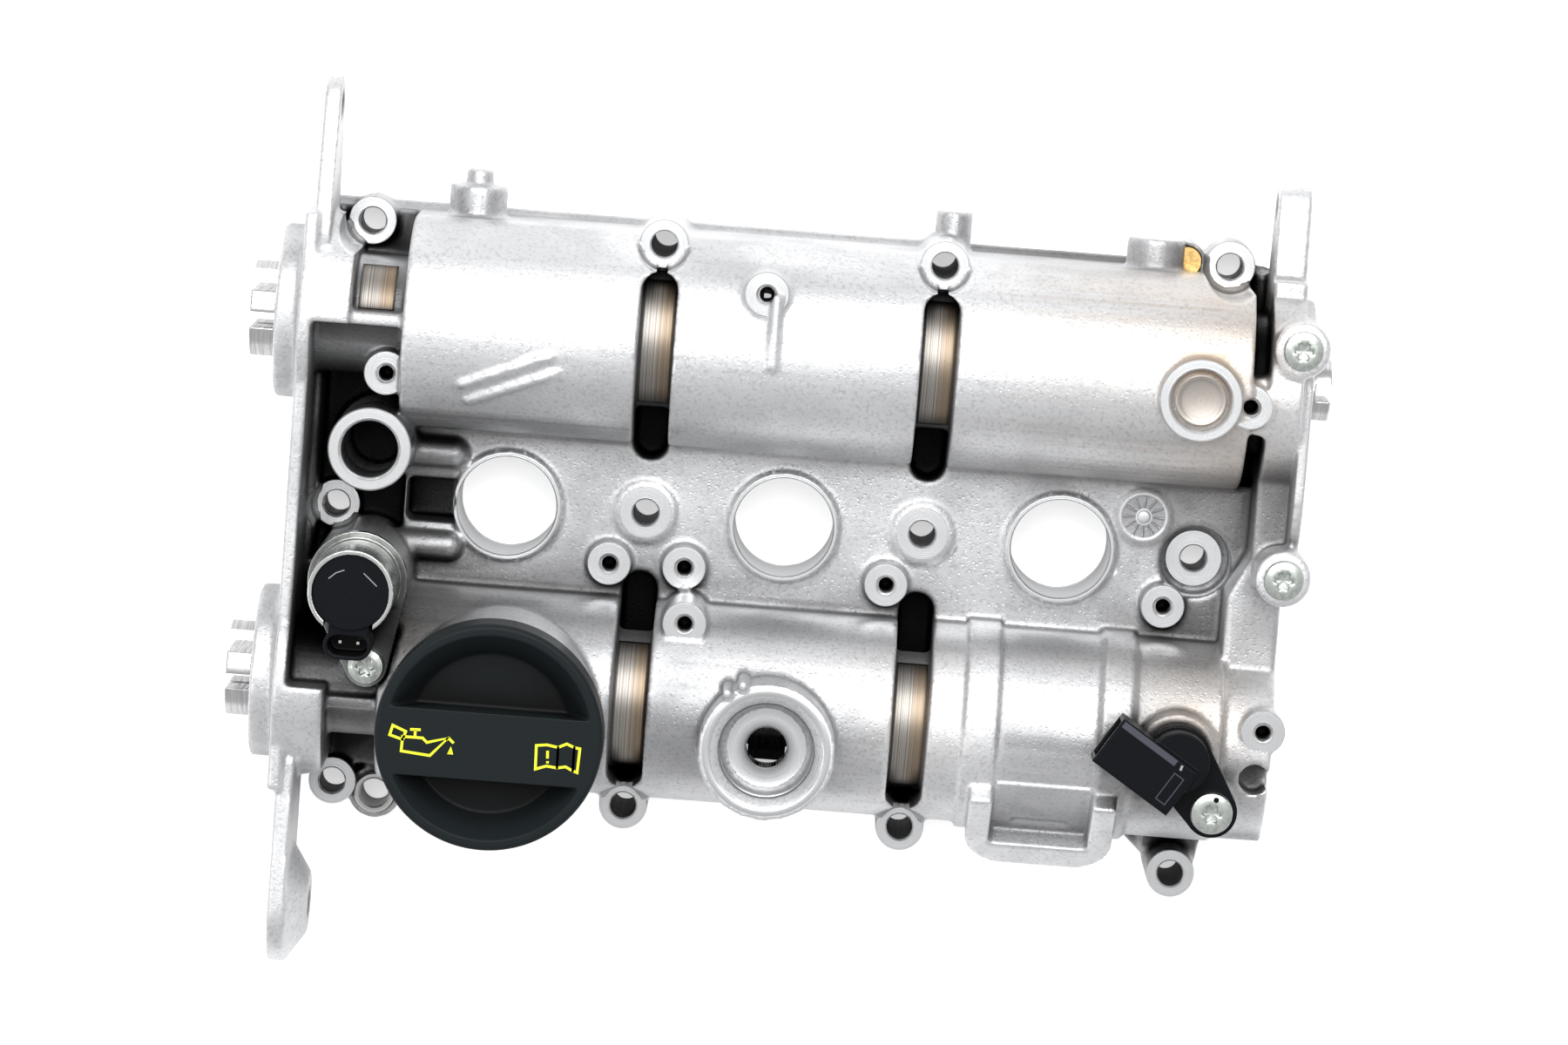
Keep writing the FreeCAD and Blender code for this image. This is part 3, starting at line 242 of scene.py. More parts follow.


# %% [markdown]
# An effect that several materials share is a node group, built once and placed in each with its own
# values. A group only gives out a height, a mask or a colour, and the shader itself stays in the material.
# Each material also reads how deep its points lie, and its colour falls to near black where little light
# comes in: painted shade.


# %% Group and material helpers
def new_group(name, inputs, outputs):
    """Empty shader group with number inputs and outputs, and its two end nodes."""
    group = bpy.data.node_groups.new(name, "ShaderNodeTree")
    for label, value in inputs.items():
        socket = group.interface.new_socket(name=label, in_out="INPUT", socket_type="NodeSocketFloat")
        socket.default_value = value
    for label in outputs:
        group.interface.new_socket(name=label, in_out="OUTPUT", socket_type="NodeSocketFloat")
    return group, group.nodes.new("NodeGroupInput").outputs, group.nodes.new("NodeGroupOutput").inputs


def place_group(tree, group, **values):
    """Put a group into a material with its own values, and give back its outputs by name."""
    new = node(tree, "Group", node_tree=group)
    for label, value in values.items():
        set_or_link(tree, new.inputs[label], value)
    return {s.name: s for s in new.outputs}


def new_material(name, base, metallic, roughness, **fixed):
    """Material whose plain values sit on the shader's own sockets, given with its tree and shader."""
    material = bpy.data.materials.new(name)
    material.use_nodes = True
    tree = material.node_tree
    shader = tree.nodes["Principled BSDF"]
    values = {"Base Color": (*base, 1.0), "Metallic": metallic, "Roughness": roughness}
    values.update({key.replace("_", " "): value for key, value in fixed.items()})
    for label, value in values.items():
        shader.inputs[label].default_value = value
    return material, tree, shader


def bump(tree, shader, height, strength, distance_mm):
    """Let a height from 0 to 1 tilt the surface, as relief of the given distance would."""
    new = node(tree, "Bump")
    new.inputs["Strength"].default_value = strength
    new.inputs["Distance"].default_value = distance_mm * MM
    tree.links.new(height, new.inputs["Height"])
    tree.links.new(new.outputs[0], shader.inputs["Normal"])


def attribute(tree, name):
    """The number kept under that name with each point of the mesh, or 0 where the mesh has none."""
    return node(tree, "Attribute", attribute_name=name).outputs["Fac"]


def with_painted_shade(tree, colour):
    """The colour, falling to near black where the piece's own depth says that little light comes in: painted
    shade.
    """
    return blend_colours(tree, attribute(tree, "depth"), colour, (0.003, 0.003, 0.003, 1))


# %% [markdown]
# ### Cast aluminium
# Die-cast aluminium has a fine blasted skin with tiny pits, darker specks and slow stains. Noise at half a
# millimetre makes the skin, scattered cells make the pits, and both together are the relief. Two more
# noises, one fine and one broad, tell where the specks and the stains are.

# %% Cast skin
cast_skin, given, out = new_group("cast_skin", {"Grain": 2200.0, "Pits": 700.0}, ["Height", "Stain", "Speck"])
where = node(cast_skin, "TexCoord").outputs["Object"]
grain = noise(cast_skin, where, given["Grain"], 2.0)
pits = node(cast_skin, "TexVoronoi", feature="F1")
cast_skin.links.new(where, pits.inputs["Vector"])
cast_skin.links.new(given["Pits"], pits.inputs["Scale"])
hollow = ramp(cast_skin, pits.outputs["Distance"], 0.05, 0.35)
relief = maths(cast_skin, "MULTIPLY_ADD", hollow, 0.5, maths(cast_skin, "MULTIPLY", grain, 0.5))
cast_skin.links.new(relief, out["Height"])
cast_skin.links.new(ramp(cast_skin, noise(cast_skin, where, 45.0, 5.0), 0.4, 0.68), out["Stain"])
speckle = ramp(cast_skin, noise(cast_skin, where, 900.0, 4.0), 0.48, 0.68)
cast_skin.links.new(maths(cast_skin, "MULTIPLY", speckle, 0.5), out["Speck"])
print("group:", cast_skin.name, "with", len(cast_skin.nodes), "nodes")

# %% [markdown]
# The casting is pale and bright on its crests, and its colour falls off to near black in its deep
# corners: painted shade. The depth that paints this shade and the warm oil tint, a real stain, come as
# attributes from the casting's own points, worked out further down, so they stay with the metal in any view.

# %% Cast aluminium
cast_metal, tree, shader = new_material("cast_aluminium", (0.6, 0.61, 0.62), 0.95, 0.4)
skin = place_group(tree, cast_skin)
clean = blend_colours(tree, skin["Stain"], (0.8, 0.805, 0.815, 1), (0.68, 0.685, 0.695, 1))
speckled = blend_colours(tree, skin["Speck"], clean, (0.5, 0.5, 0.51, 1))
oil_share = maths(tree, "MULTIPLY", attribute(tree, "warm"), 0.75)
oily = blend_colours(tree, oil_share, speckled, (0.47, 0.34, 0.22, 1))
# Painted shade: the depth attribute takes the colour to near black in the casting's corners.
tree.links.new(with_painted_shade(tree, oily), shader.inputs["Base Color"])
tree.links.new(maths(tree, "MULTIPLY_ADD", skin["Stain"], 0.12, 0.42), shader.inputs["Roughness"])
bump(tree, shader, skin["Height"], 0.65, 0.16)
print("material:", cast_metal.name, "with", len(tree.nodes), "nodes")

# %% [markdown]
# ### Faced and turned metal
# A cutter leaves rings. The ring's radius is kept as an attribute on each turned piece, and a noise in one
# dimension along it draws the marks, so they are round about each hole. A ring texture would need a centre
# for each hole, while the attribute serves them all.


# %% Turned metals
lathe_marks, given, out = new_group("lathe_marks", {"Radius": 0.0, "Pitch": 6.0}, ["Height", "Streak"])
place = maths(lathe_marks, "MULTIPLY", given["Radius"], given["Pitch"])
fine = noise(lathe_marks, place, 1.0, 3.0, "1D")
lathe_marks.links.new(fine, out["Height"])
lathe_marks.links.new(ramp(lathe_marks, fine, 0.35, 0.65), out["Streak"])


def turned_metal(name, bright, dark, roughness, pitch=6.0):
    """Metal with rings: bright and dark follow the streaks, and the streaks are a little rougher."""
    material, tree, shader = new_material(name, bright, 1.0, roughness)
    marks = place_group(tree, lathe_marks, Radius=attribute(tree, "radius"), Pitch=pitch)
    streaked = blend_colours(tree, marks["Streak"], (*bright, 1), (*dark, 1))
    tree.links.new(with_painted_shade(tree, streaked), shader.inputs["Base Color"])
    tree.links.new(maths(tree, "MULTIPLY_ADD", marks["Streak"], 0.12, roughness), shader.inputs["Roughness"])
    bump(tree, shader, marks["Height"], 0.3, 0.05)
    return material


faced_metal = turned_metal("faced_aluminium", (0.8, 0.81, 0.82), (0.55, 0.56, 0.57), 0.26)
turned_steel = turned_metal("turned_steel", (0.62, 0.62, 0.61), (0.42, 0.42, 0.42), 0.22)
plug_metal = turned_metal("core_plug_metal", (0.5, 0.46, 0.42), (0.36, 0.33, 0.3), 0.38, pitch=4.0)
thread_metal = turned_metal("thread_metal", (0.42, 0.42, 0.42), (0.3, 0.3, 0.3), 0.35)
print("turned metals:", faced_metal.name, turned_steel.name, plug_metal.name, thread_metal.name)

# %% [markdown]
# The bearing rings carry a film of oil, grey on one side and brown on the other, under the same kind of
# lines. The band's own share of its width, kept with its points, says where the film turns brown. A thin
# coat makes the oil shine.

# %% Oily bearing
bearing_metal, tree, shader = new_material("oily_bearing", (0.3, 0.26, 0.2), 1.0, 0.45, Coat_Weight=0.1)
marks = place_group(tree, lathe_marks, Radius=attribute(tree, "radius"), Pitch=2.2)
across = ramp(tree, attribute(tree, "across"), 0.35, 0.8)
oil = blend_colours(tree, across, (0.42, 0.42, 0.41, 1), (0.36, 0.27, 0.18, 1))
streaked = blend_colours(tree, marks["Streak"], oil, (0.24, 0.2, 0.16, 1))
tree.links.new(with_painted_shade(tree, streaked), shader.inputs["Base Color"])
bump(tree, shader, marks["Height"], 0.4, 0.06)
print("material:", bearing_metal.name)

# %% [markdown]
# ### Shafts, screws and brass
# These finishes read Object coordinates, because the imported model's solids carry no numbers of their own.
# A shaft's grinding lines run round it, so the noise is squeezed along X and stretched the other ways. A
# plated screw has no direction, so its noise is the same all ways.


# %% Ground and plated metals
def ground_metal(name, light, dark, roughness, scale):
    """Metal with lines: a noise over the coordinates times the scale, one factor for each axis."""
    material, tree, shader = new_material(name, light, 1.0, roughness)
    mapping = node(tree, "Mapping")
    tree.links.new(node(tree, "TexCoord").outputs["Object"], mapping.inputs["Vector"])
    mapping.inputs["Scale"].default_value = scale
    lines = noise(tree, mapping.outputs[0], 1.0, 4.0)
    streak = ramp(tree, lines, 0.35, 0.65)
    lined = blend_colours(tree, streak, (*light, 1), (*dark, 1))
    tree.links.new(with_painted_shade(tree, lined), shader.inputs["Base Color"])
    tree.links.new(maths(tree, "MULTIPLY_ADD", streak, 0.15, roughness), shader.inputs["Roughness"])
    bump(tree, shader, lines, 0.25, 0.04)
    return material


ground_steel = ground_metal("ground_steel", (0.66, 0.66, 0.66), (0.48, 0.48, 0.49), 0.2, (2600, 60, 60))
bright_steel = ground_metal("bright_steel", (0.74, 0.76, 0.74), (0.56, 0.58, 0.56), 0.14, (60, 60, 2400))
screw_steel = ground_metal("zinc_plate", (0.62, 0.65, 0.62), (0.42, 0.45, 0.42), 0.26, (800, 800, 800))
pin_metal = ground_metal("pin_metal", (0.8, 0.78, 0.72), (0.6, 0.58, 0.52), 0.2, (500, 500, 900))
brass = ground_metal("brass", (0.72, 0.5, 0.2), (0.5, 0.32, 0.12), 0.3, (700, 700, 700))
print("ground and plated metals:", ground_steel.name, bright_steel.name, screw_steel.name, brass.name)

# %% [markdown]
# ### Plastic, rubber and print
# Moulded plastic is eroded to a fine grain and holds dust in it. One group of specks gives both the dust
# and the grain. The two black plastics reflect little, which keeps them black under the broad light.


# %% Moulded finishes
specks, given, out = new_group("specks", {"Size": 1500.0, "Cover": 0.62}, ["Mask", "Height"])
dots = noise(specks, node(specks, "TexCoord").outputs["Object"], given["Size"], 3.0)
specks.links.new(ramp(specks, dots, given["Cover"], 0.8), out["Mask"])
specks.links.new(dots, out["Height"])


def moulded(name, base, roughness, grain_size, dust_colour, dust_cover=0.66, **fixed):
    """Plastic or rubber with dust where the specks pass the cover. Its roughness follows their height."""
    material, tree, shader = new_material(name, base, 0.0, roughness, **fixed)
    dust = place_group(tree, specks, Size=grain_size, Cover=dust_cover)
    dusty = blend_colours(tree, dust["Mask"], (*base, 1), (*dust_colour, 1))
    tree.links.new(with_painted_shade(tree, dusty), shader.inputs["Base Color"])
    dull = maths(tree, "MULTIPLY_ADD", dust["Height"], 0.25, roughness - 0.12)
    tree.links.new(dull, shader.inputs["Roughness"])
    bump(tree, shader, dust["Height"], 0.25, 0.05)
    return material


cap_plastic = moulded("cap_plastic", (0.011, 0.0145, 0.016), 0.42, 1800.0, (0.02, 0.025, 0.027),
                      Specular_IOR_Level=0.1)
black_plastic = moulded("black_plastic", (0.004, 0.005, 0.007), 0.34, 1400.0, (0.012, 0.013, 0.017),
                        Specular_IOR_Level=0.1)
# Painted highlights: the next two lighter greys stand for light caught on the sensor's and valve's lines.
rib_highlight_plastic = moulded("rib_highlight_plastic", (0.045, 0.05, 0.068), 0.4, 1400.0, (0.06, 0.065, 0.08))
highlight_grey_plastic = moulded("painted_highlight_plastic", (0.3, 0.31, 0.33), 0.4, 1400.0, (0.2, 0.2, 0.22))
rubber = moulded("seal_rubber", (0.012, 0.012, 0.013), 0.6, 900.0, (0.03, 0.03, 0.03))
print_yellow = moulded("printed_yellow", (0.85, 0.92, 0.02), 0.5, 2500.0, (0.7, 0.78, 0.01), 0.7)
print("materials:", len(bpy.data.materials))

# %% [markdown]
# ## The casting
# A die casting has no knife edge: every corner is rounded by the mould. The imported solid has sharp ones,
# and a Bevel modifier fails on its many crossing curves. So a copy of it is rebuilt from small cubes,
# smoothed a little and thinned again. What stays sharp on the real part was cut after casting, and gets
# turned pieces.


# %% Round the edges of a solid
def softened(name, source, voxel, passes, triangles):
    """Copy of a node's mesh, merged, rebuilt on a voxel grid in millimetres, smoothed and thinned. Also gives
    the points as they were before the thinning, in millimetres."""
    mesh = nodes[source].data.copy()
    merge_doubles(mesh)
    piece = bpy.data.objects.new(name + "_work", mesh)
    bpy.context.scene.collection.objects.link(piece)
    remesh = piece.modifiers.new("cubes", "REMESH")
    remesh.mode, remesh.voxel_size, remesh.adaptivity = "VOXEL", voxel * MM, 0.0
    smooth = piece.modifiers.new("round", "SMOOTH")
    smooth.factor, smooth.iterations = 0.5, passes
    bpy.context.view_layer.update()
    done = piece.evaluated_get(bpy.context.evaluated_depsgraph_get()).data
    count = len(done.loop_triangles) or 2 * len(done.polygons)
    dense = np.zeros(len(done.vertices) * 3, np.float32)
    done.vertices.foreach_get("co", dense)
    thin = piece.modifiers.new("thin", "DECIMATE")
    thin.ratio = min(1.0, triangles / count)
    bpy.context.view_layer.update()
    result = bpy.data.meshes.new_from_object(piece.evaluated_get(bpy.context.evaluated_depsgraph_get()))
    result.name = name
    bpy.data.objects.remove(piece)
    result.polygons.foreach_set("use_smooth", np.ones(len(result.polygons), dtype=bool))
    result.update()
    return result, dense.reshape(-1, 3) / MM


# %% [markdown]
# The same rebuilding serves every solid whose edges the camera sees: the moulded plastics, the drawn steel
# can and the ends of the shafts. A small part takes a finer grid, so that its corners aren't washed away.
# Each row gives the size of the cubes, the number of smoothing passes and the triangles to keep.

# %% Soft copies of the cast, moulded and drawn solids
rebuilt = {"cover_casting": (0.85, 3, 190000), "cap_grip": (0.4, 3, 60000), "sensor_body": (0.3, 2, 60000),
           "valve_cap": (0.22, 2, 40000), "valve_can": (0.25, 2, 60000), "intake_drive_end": (0.35, 2, 40000),
           "exhaust_drive_end": (0.35, 2, 40000), "exhaust_output_end": (0.35, 2, 40000)}
coarser = 1
soft, crust = {}, {}
for name, (voxel, passes, triangles) in rebuilt.items():
    soft[name], crust[name] = softened(name + "_soft", name, voxel * coarser, passes, triangles)
    print(name, "rebuilt:", len(crust[name]), "points, thinned to", len(soft[name].polygons), "faces")

# %% [markdown]
# Deep corners of the casting are painted dark, because little of the sky reaches them: painted shade. How
# much light comes to a point is judged from a height map: sixteen ways are followed from it, and the
# steepest rise of the surface along each tells how much of the sky is hidden. What lies under the surface
# loses more with every millimetre. Blender's Ambient Occlusion node would do this too, but a number kept
# with the points also comes through an export. The underside gets the same treatment upside down.

# %% Height maps
cell = 1.1
margin = 45.0
tops = np.concatenate([crust[name] for name in ("cover_casting", "sensor_body", "valve_cap", "valve_can")])
low = tops.min(axis=0) - margin
shape = tuple(np.ceil((tops.max(axis=0) + margin - low)[:2] / cell).astype(int) + 1)


def cells_of(x, y):
    """Row and column of the map's cell that each place falls in."""
    return ((x - low[0]) / cell).astype(int), ((y - low[1]) / cell).astype(int)


def height_map(points, empty):
    """Highest point over each cell of the grid."""
    heights = np.full(shape, empty, float)
    np.maximum.at(heights, cells_of(points[:, 0], points[:, 1]), points[:, 2])
    return heights


NOTHING = -60.0
flip = np.array([1.0, 1.0, -1.0])
from_above = height_map(tops, 0.0)
from_below = height_map(crust["cover_casting"] * flip, NOTHING)
print("height maps:", shape[0], "by", shape[1], "cells of", cell, "mm")


# %% [markdown]
# A wall is judged from three millimetres in front of it, since the map can't tell its face from the metal
# behind. An outer wall, with nothing of the casting in front of it, stands in the open whatever the map
# says. The result is evened out between neighbours, which hides the cells of the map.


# %% Light that comes to each point
def open_sky(spots, facing, heights):
    """Mean over the ways of one over (one plus the square of the steepest rise), times a fall below ground.
    A way counts as much as the surface faces it, and the fall is the exponential of the cover over 10 mm."""
    start = spots + facing * (3.0, 3.0, 1.2)
    seen, total = np.zeros((2, len(spots)))
    for way in np.arange(16) * math.pi / 8:
        rise = np.zeros(len(spots))
        for step in (1.5, 3, 5, 8, 12, 18, 26, 38):
            x, y = start[:, 0] + step * math.cos(way), start[:, 1] + step * math.sin(way)
            rise = np.maximum(rise, (heights[cells_of(x, y)] - start[:, 2]) / step)
        ahead = facing[:, :2] @ (math.cos(way), math.sin(way))
        weight = np.clip(facing[:, 2], 0.05, 1) + np.clip(ahead, 0, 1)
        seen += weight / (1 + rise ** 2)
        total += weight
    cover = heights[cells_of(start[:, 0], start[:, 1])] - start[:, 2]
    return seen / total * np.exp(-np.clip(cover - 1.5, 0, None) / 10)


def darken(mesh, heights, least=0.32, enough=0.95):
    """Store the mesh's depth, a painted shade: 0 with enough light, 1 with no more than the least, and
    between them one less the light's share to the power of 1.25. Gives back the mesh's points in millimetres."""
    spots, facing = np.zeros((2, len(mesh.vertices) * 3), np.float32)
    mesh.vertices.foreach_get("co", spots)
    mesh.vertices.foreach_get("normal", facing)
    spots, facing = spots.reshape(-1, 3) / MM, facing.reshape(-1, 3)
    from_floor = 0.35 + open_sky(spots * flip, facing * flip, from_below)
    light = np.where(facing[:, 2] > -0.3, open_sky(spots, facing, heights), from_floor)
    front = spots + 9 * facing
    outer = (from_below[cells_of(front[:, 0], front[:, 1])] == NOTHING) & (np.abs(facing[:, 2]) < 0.8)
    light = np.where(outer, np.maximum(light, 0.8), light)
    dark = 1 - np.clip((light - least) / (enough - least), 0, 1) ** 1.25
    ends = np.zeros(len(mesh.edges) * 2, np.int32)
    mesh.edges.foreach_get("vertices", ends)
    first, second = ends.reshape(-1, 2).T
    neighbours = np.bincount(ends, minlength=len(dark))
    for _ in range(4):
        around = np.bincount(first, dark[second], len(dark)) + np.bincount(second, dark[first], len(dark))
        dark = (dark + around) / (neighbours + 1)
    # The depth is painted shade: the materials turn it into near black where little light comes.
    store(mesh, "depth", dark)
    return spots


# %% [markdown]
# Used engines sweat a little oil near their plugs, screws and seals, and it dries to a warm film. Each
# place is a round cloud that fades with the distance as a bell curve does. The clouds are added up and
# kept with the casting's points, next to the depth.

# %% Cast cover
# Painted shade for the casting's corners first; the warm oil film below is a real stain.
spots = darken(soft["cover_casting"], from_above)
oil_clouds = ((120, 66, 12, 1.0), (126, 30, 10, 0.5), (123, -42, 11, 0.6), (45, -44, 10, 0.2),
              (-108, -34, 9, 0.3))  # x, y, spread, strength
oil_film = sum(strength * np.exp(-((spots[:, 0] - x) ** 2 + (spots[:, 1] - y) ** 2) / (2 * spread * spread))
               for x, y, spread, strength in oil_clouds)
store(soft["cover_casting"], "warm", np.clip(oil_film, 0, 1))
link_mesh(soft["cover_casting"], "casting", "cover", cast_metal, ["cover_casting"])

# %% [markdown]
# ## What the cutters left
# Bolt bosses, threaded bosses and the necks of the bores are faced after casting, so each shows a bright
# ring with a chamfer at its hole. A ring is a closed profile on the lathe. All of them go into one piece,
# since the same cutter made them all and they share one finish.

# %% Places of the faced bosses
bolt_bosses = [(-41, 82.3, 7.2, 44), (41, 82.3, 7.2, 44), (-41, -85.2, 7.2, 36), (41, -85.2, 7.2, 36),
               (-41, 1.2, 8.0, 27), (41, 1.2, 8.0, 27), (-128, 80.4, 7.2, 17), (125.5, 86.4, 7.6, 17),
               (-133, -4.4, 7.2, 17), (122, -0.8, 8.6, 18), (-128.7, -87.8, 7.2, 17),
               (122.2, -93.6, 7.2, 32)]  # x, y, radius of the boss, height of its face
thread_bosses = [(-50.6, -14.4, 30), (31.4, -14.4, 30), (113.4, -14.4, 30), (-28.4, -14.0, 30),
                 (-26.7, -27.5, 52), (-118.9, 38.9, 50), (-10, 71.5, 62), (131.9, 49.7, 62),
                 (143.9, -45.3, 58.8)]  # x, y, height of the face
well_places = (-82, 0, 82)
core_plug_place, spare_bore_place = (117.2, 50.9), (-122, 16.6)
bolt_r, tap_r, tap_face = 3.9, 2.4, 6.6
print("bolt bosses:", len(bolt_bosses), "threaded bosses:", len(thread_bosses))

# %% [markdown]
# Each ring's profile goes up inside the hole, over the chamfer, across the face in shallow steps that catch
# the light as a cutter's marks do, and down again behind. It stands a little proud of the cast skin and ends
# just inside the boss, so that no two surfaces share a place.


# %% Faced rings
def face_ring(bore, rim, top, depth, chamfer=0.45, steps=6):
    """Profile of a faced boss: up inside the hole, over a chamfer, across shallow cutter steps and down."""
    across = np.linspace(bore + chamfer, rim - chamfer / 2, steps)
    ripple = 0.02 * (np.arange(steps) % 2)
    r = np.concatenate([[bore, bore], across, [rim, rim]])
    h = np.concatenate([[top - depth, top - chamfer], top - ripple, [top - chamfer / 2, top - depth]])
    return r, h


skin_back, proud = 0.15, 0.05
well_ring = (14.64, 15.9, 27.2, 22.0, 0.3)  # bore, rim, height of the face, depth and chamfer
spare_bore_ring = (8.34, 12.2, 53.05, 18.0, 0.8)
core_plug_ring = (8.94, 11.9, 65.55, 2.05, 0.5)
rings = [turned(*face_ring(bolt_r - 0.06, rim - skin_back, top + proud, 9.0), x, y)
         for x, y, rim, top in bolt_bosses]
rings += [turned(*face_ring(tap_r + 0.25, tap_face - skin_back, top + proud, 1.2), x, y)
          for x, y, top in thread_bosses]
rings += [turned(*face_ring(*well_ring), x, 0, segments=96) for x in well_places]
rings.append(turned(*face_ring(*spare_bore_ring), *spare_bore_place, segments=80))
rings.append(turned(*face_ring(*core_plug_ring), *core_plug_place, segments=80))
turned_piece("faced_rings", "cover", faced_metal, rings)

# %% [markdown]
# The port on the intake side is turned in several steps: a broad rim, a cone, a bright flat seat and the
# hole. One profile on the lathe holds them all, and its corners stay sharp, as a cutter leaves them.

# %% Turned port
port_r = [19.9, 19.4, 18.6, 16.8, 16.5, 13.6, 13.5, 13.5, 13.0, 9.0, 6.5, 5.94, 5.94, 19.3]
port_h = [70.0, 73.6, 74.05, 74.05, 73.9, 71.0, 70.6, 65.3, 65.05, 65.0, 65.05, 64.6, 58.0, 62.0]
turned_piece("turned_port", "cover", faced_metal,
             [turned(port_r, port_h, 0, -60, segments=128)])

# %% [markdown]
# The small bosses are tapped for screws. A thread is the lathe's profile with one change: the radius rises
# and falls along the height, and the wave is shifted by one pitch over each turn. A drawn helix with a
# swept tooth would look the same in so small a hole and take far more faces.


# %% Threads in the tapped holes
def threaded_sleeve(r, depth, top, pitch, height, x, y, segments=28):
    """Radius is r less a triangle wave of (height over pitch minus turns), closed by a plain wall behind."""
    z = np.linspace(top - depth, top, int(depth / pitch * 6))
    turn = np.linspace(0, 1, segments, endpoint=False)[None, :]
    wave = np.abs(((z[:, None] / pitch - turn) % 1.0) * 2 - 1)
    inner = r + 0.05 - height * wave
    outer = np.full((2, segments), r + 0.2)
    heights = np.concatenate([z, [top, top - depth]])[:, None] * np.ones(segments)
    return turned(np.concatenate([inner, outer]), heights, x, y, segments=segments)


threads = [threaded_sleeve(tap_r + 0.1, 7.5, top - 0.5, 1.0, 0.45, x, y) for x, y, top in thread_bosses]
turned_piece("tapped_threads", "cover", thread_metal, threads, angle=50)

# %% [markdown]
# Inside each slot the bearing ring shows as a curved, oily band with lines that run round the shaft. It is
# a strip of a cylinder, a little proud of the cast ring below it. A Solidify modifier gives the strip its
# thickness, which is simpler than a second wall in the grid.


# %% Bearing bands in the slots
shaft_y, shaft_z = 53.5, 32


def band(x, side, half, r, first, last, rows=40, columns=14):
    """Arc from the first to the last angle about the camshaft, carried across the slot's width. Stored are
    the share of the width and a painted shade that grows with the fourth power towards the arc's ends."""
    angle = np.radians(np.linspace(first, last, rows))[:, None]
    width = np.linspace(-half, half, columns)[None, :]
    y = side * shaft_y + r * np.sin(angle) + 0 * width
    z = shaft_z + r * np.cos(angle) + 0 * width
    xyz = np.stack([x + width + 0 * angle, y, z], axis=-1).reshape(-1, 3)
    share = (width + half) / (2 * half) + 0 * angle
    # Painted shade: the band darkens towards its arc's ends, where it turns down into the slot.
    dark = np.abs(np.linspace(-1, 1, rows))[:, None] ** 4 + 0 * width
    faces = grid_faces(rows, columns, close_columns=False)[:, ::-1]
    return xyz, faces, np.stack([share.ravel(), dark.ravel()])


strips = [band(x, side, 4.6, 20.12, -62, 62) for side in (-1, 1) for x in (-41, 41)]
strips.append(band(-123.1, 1, 5.2, 17.12, 12, 65))
points, faces, values = gather(strips)
band_mesh = mesh_of("bearing_bands", points, faces,
                    attributes={"across": values[0], "depth": values[1], "radius": points[:, 0]})
bands = link_mesh(band_mesh, "bearing_bands", "cover", bearing_metal)
wall = bands.modifiers.new("thickness", "SOLIDIFY")
wall.thickness, wall.offset = 0.4 * MM, -1.0

# %% [markdown]
# The mould's date clock is a low disc with rays and a round head in its middle. Its height is one formula
# of the radius and the angle, so a single grid holds what would otherwise be a dozen small pieces.


# %% Date clock
def clock_disc(x, y, base, r, rays=12, rows=40, columns=192):
    """Height is the base plus a soft rim, a middle head and rays that are cosine powers of the angle."""
    rho = np.linspace(0, r, rows)[:, None]
    angle = np.linspace(0, 2 * math.pi, columns, endpoint=False)[None, :]
    ray = np.clip(np.cos(angle * rays), 0, 1) ** 3 * (rho > 0.36 * r) * (rho < 0.82 * r)
    head = 0.7 * np.sqrt(np.clip(1 - (rho / (0.27 * r)) ** 2, 0, 1)) + 0 * angle
    rim = 0.3 * np.exp(-((rho - 0.93 * r) / 0.4) ** 2) + 0 * angle
    h = np.concatenate([base + 0.45 * ray + head + rim, np.full((2, columns), base - 1.5)])
    # Painted shade: the material darkens the disc between the rays, read through the depth values.
    between = 0.5 * (1 - ray) * (rho > 0.33 * r) * (rho < 0.86 * r)
    rho = np.concatenate([rho, [[r], [0]]]) + 0 * angle
    xyz, faces, values = turned(rho, h, x, y, segments=columns)
    values[1, :between.size] = between.ravel()
    return xyz, faces, values


clock = clock_disc(105.8, 11.4, 26.75, 7.4)
turned_piece("date_clock", "cover", cast_metal, [clock], angle=50)

# %% [markdown]
# ## Screws
# A pan head with a six-lobed recess could be cut with a Boolean, which leaves a rough seam. Here it is one
# surface: rings that are circles at the rim and turn into a star towards the middle. The share of the star
# grows from 0 to 1 where the recess begins.


# %% Star screws
def star_head(x, y, seat, head_r, head_h=3.4, star=2.35, lobe=0.42, sink=1.8, columns=96):
    """Radius is the ring's own radius, times one plus a six-fold cosine wave inside the recess."""
    r = np.array([0, 2.86, 2.86, head_r - 0.3, head_r, head_r, head_r - 0.35, head_r - 1.5, star + 1.2,
                  star + 0.25, star, star * 0.93, star * 0.9, 0.6, 0])
    h = np.array([-9.4, -9.4, 0.0, 0.0, 0.3, head_h * 0.55, head_h - 0.45, head_h - 0.12, head_h, head_h,
                  head_h - 0.12, head_h - 0.4, head_h - sink, head_h - sink - 0.15, head_h - sink - 0.2])
    wave = np.array([0, 0, 0, 0, 0, 0, 0, 0, 0, 0.6, 1, 1, 1, 0.6, 0])
    angle = np.linspace(0, 2 * math.pi, columns, endpoint=False)
    rows = r[:, None] * (1 + lobe / star * wave[:, None] * np.cos(6 * angle))
    return turned(rows, h + seat, x, y, segments=columns)


heads = {"sensor_screw": [(130, -68, 70, 6.2)], "valve_screw": [(-118.4, -46.4, 56, 5.4)],
         "gallery_screws": [(145.6, 0.4, 62, 5.8), (145.6, 67.3, 62, 5.8)]}  # x, y, seat, head's radius
for name, places in heads.items():
    screws = [star_head(*place) for place in places]
    turned_piece(name + "_turned", "cover", screw_steel, screws, [name])

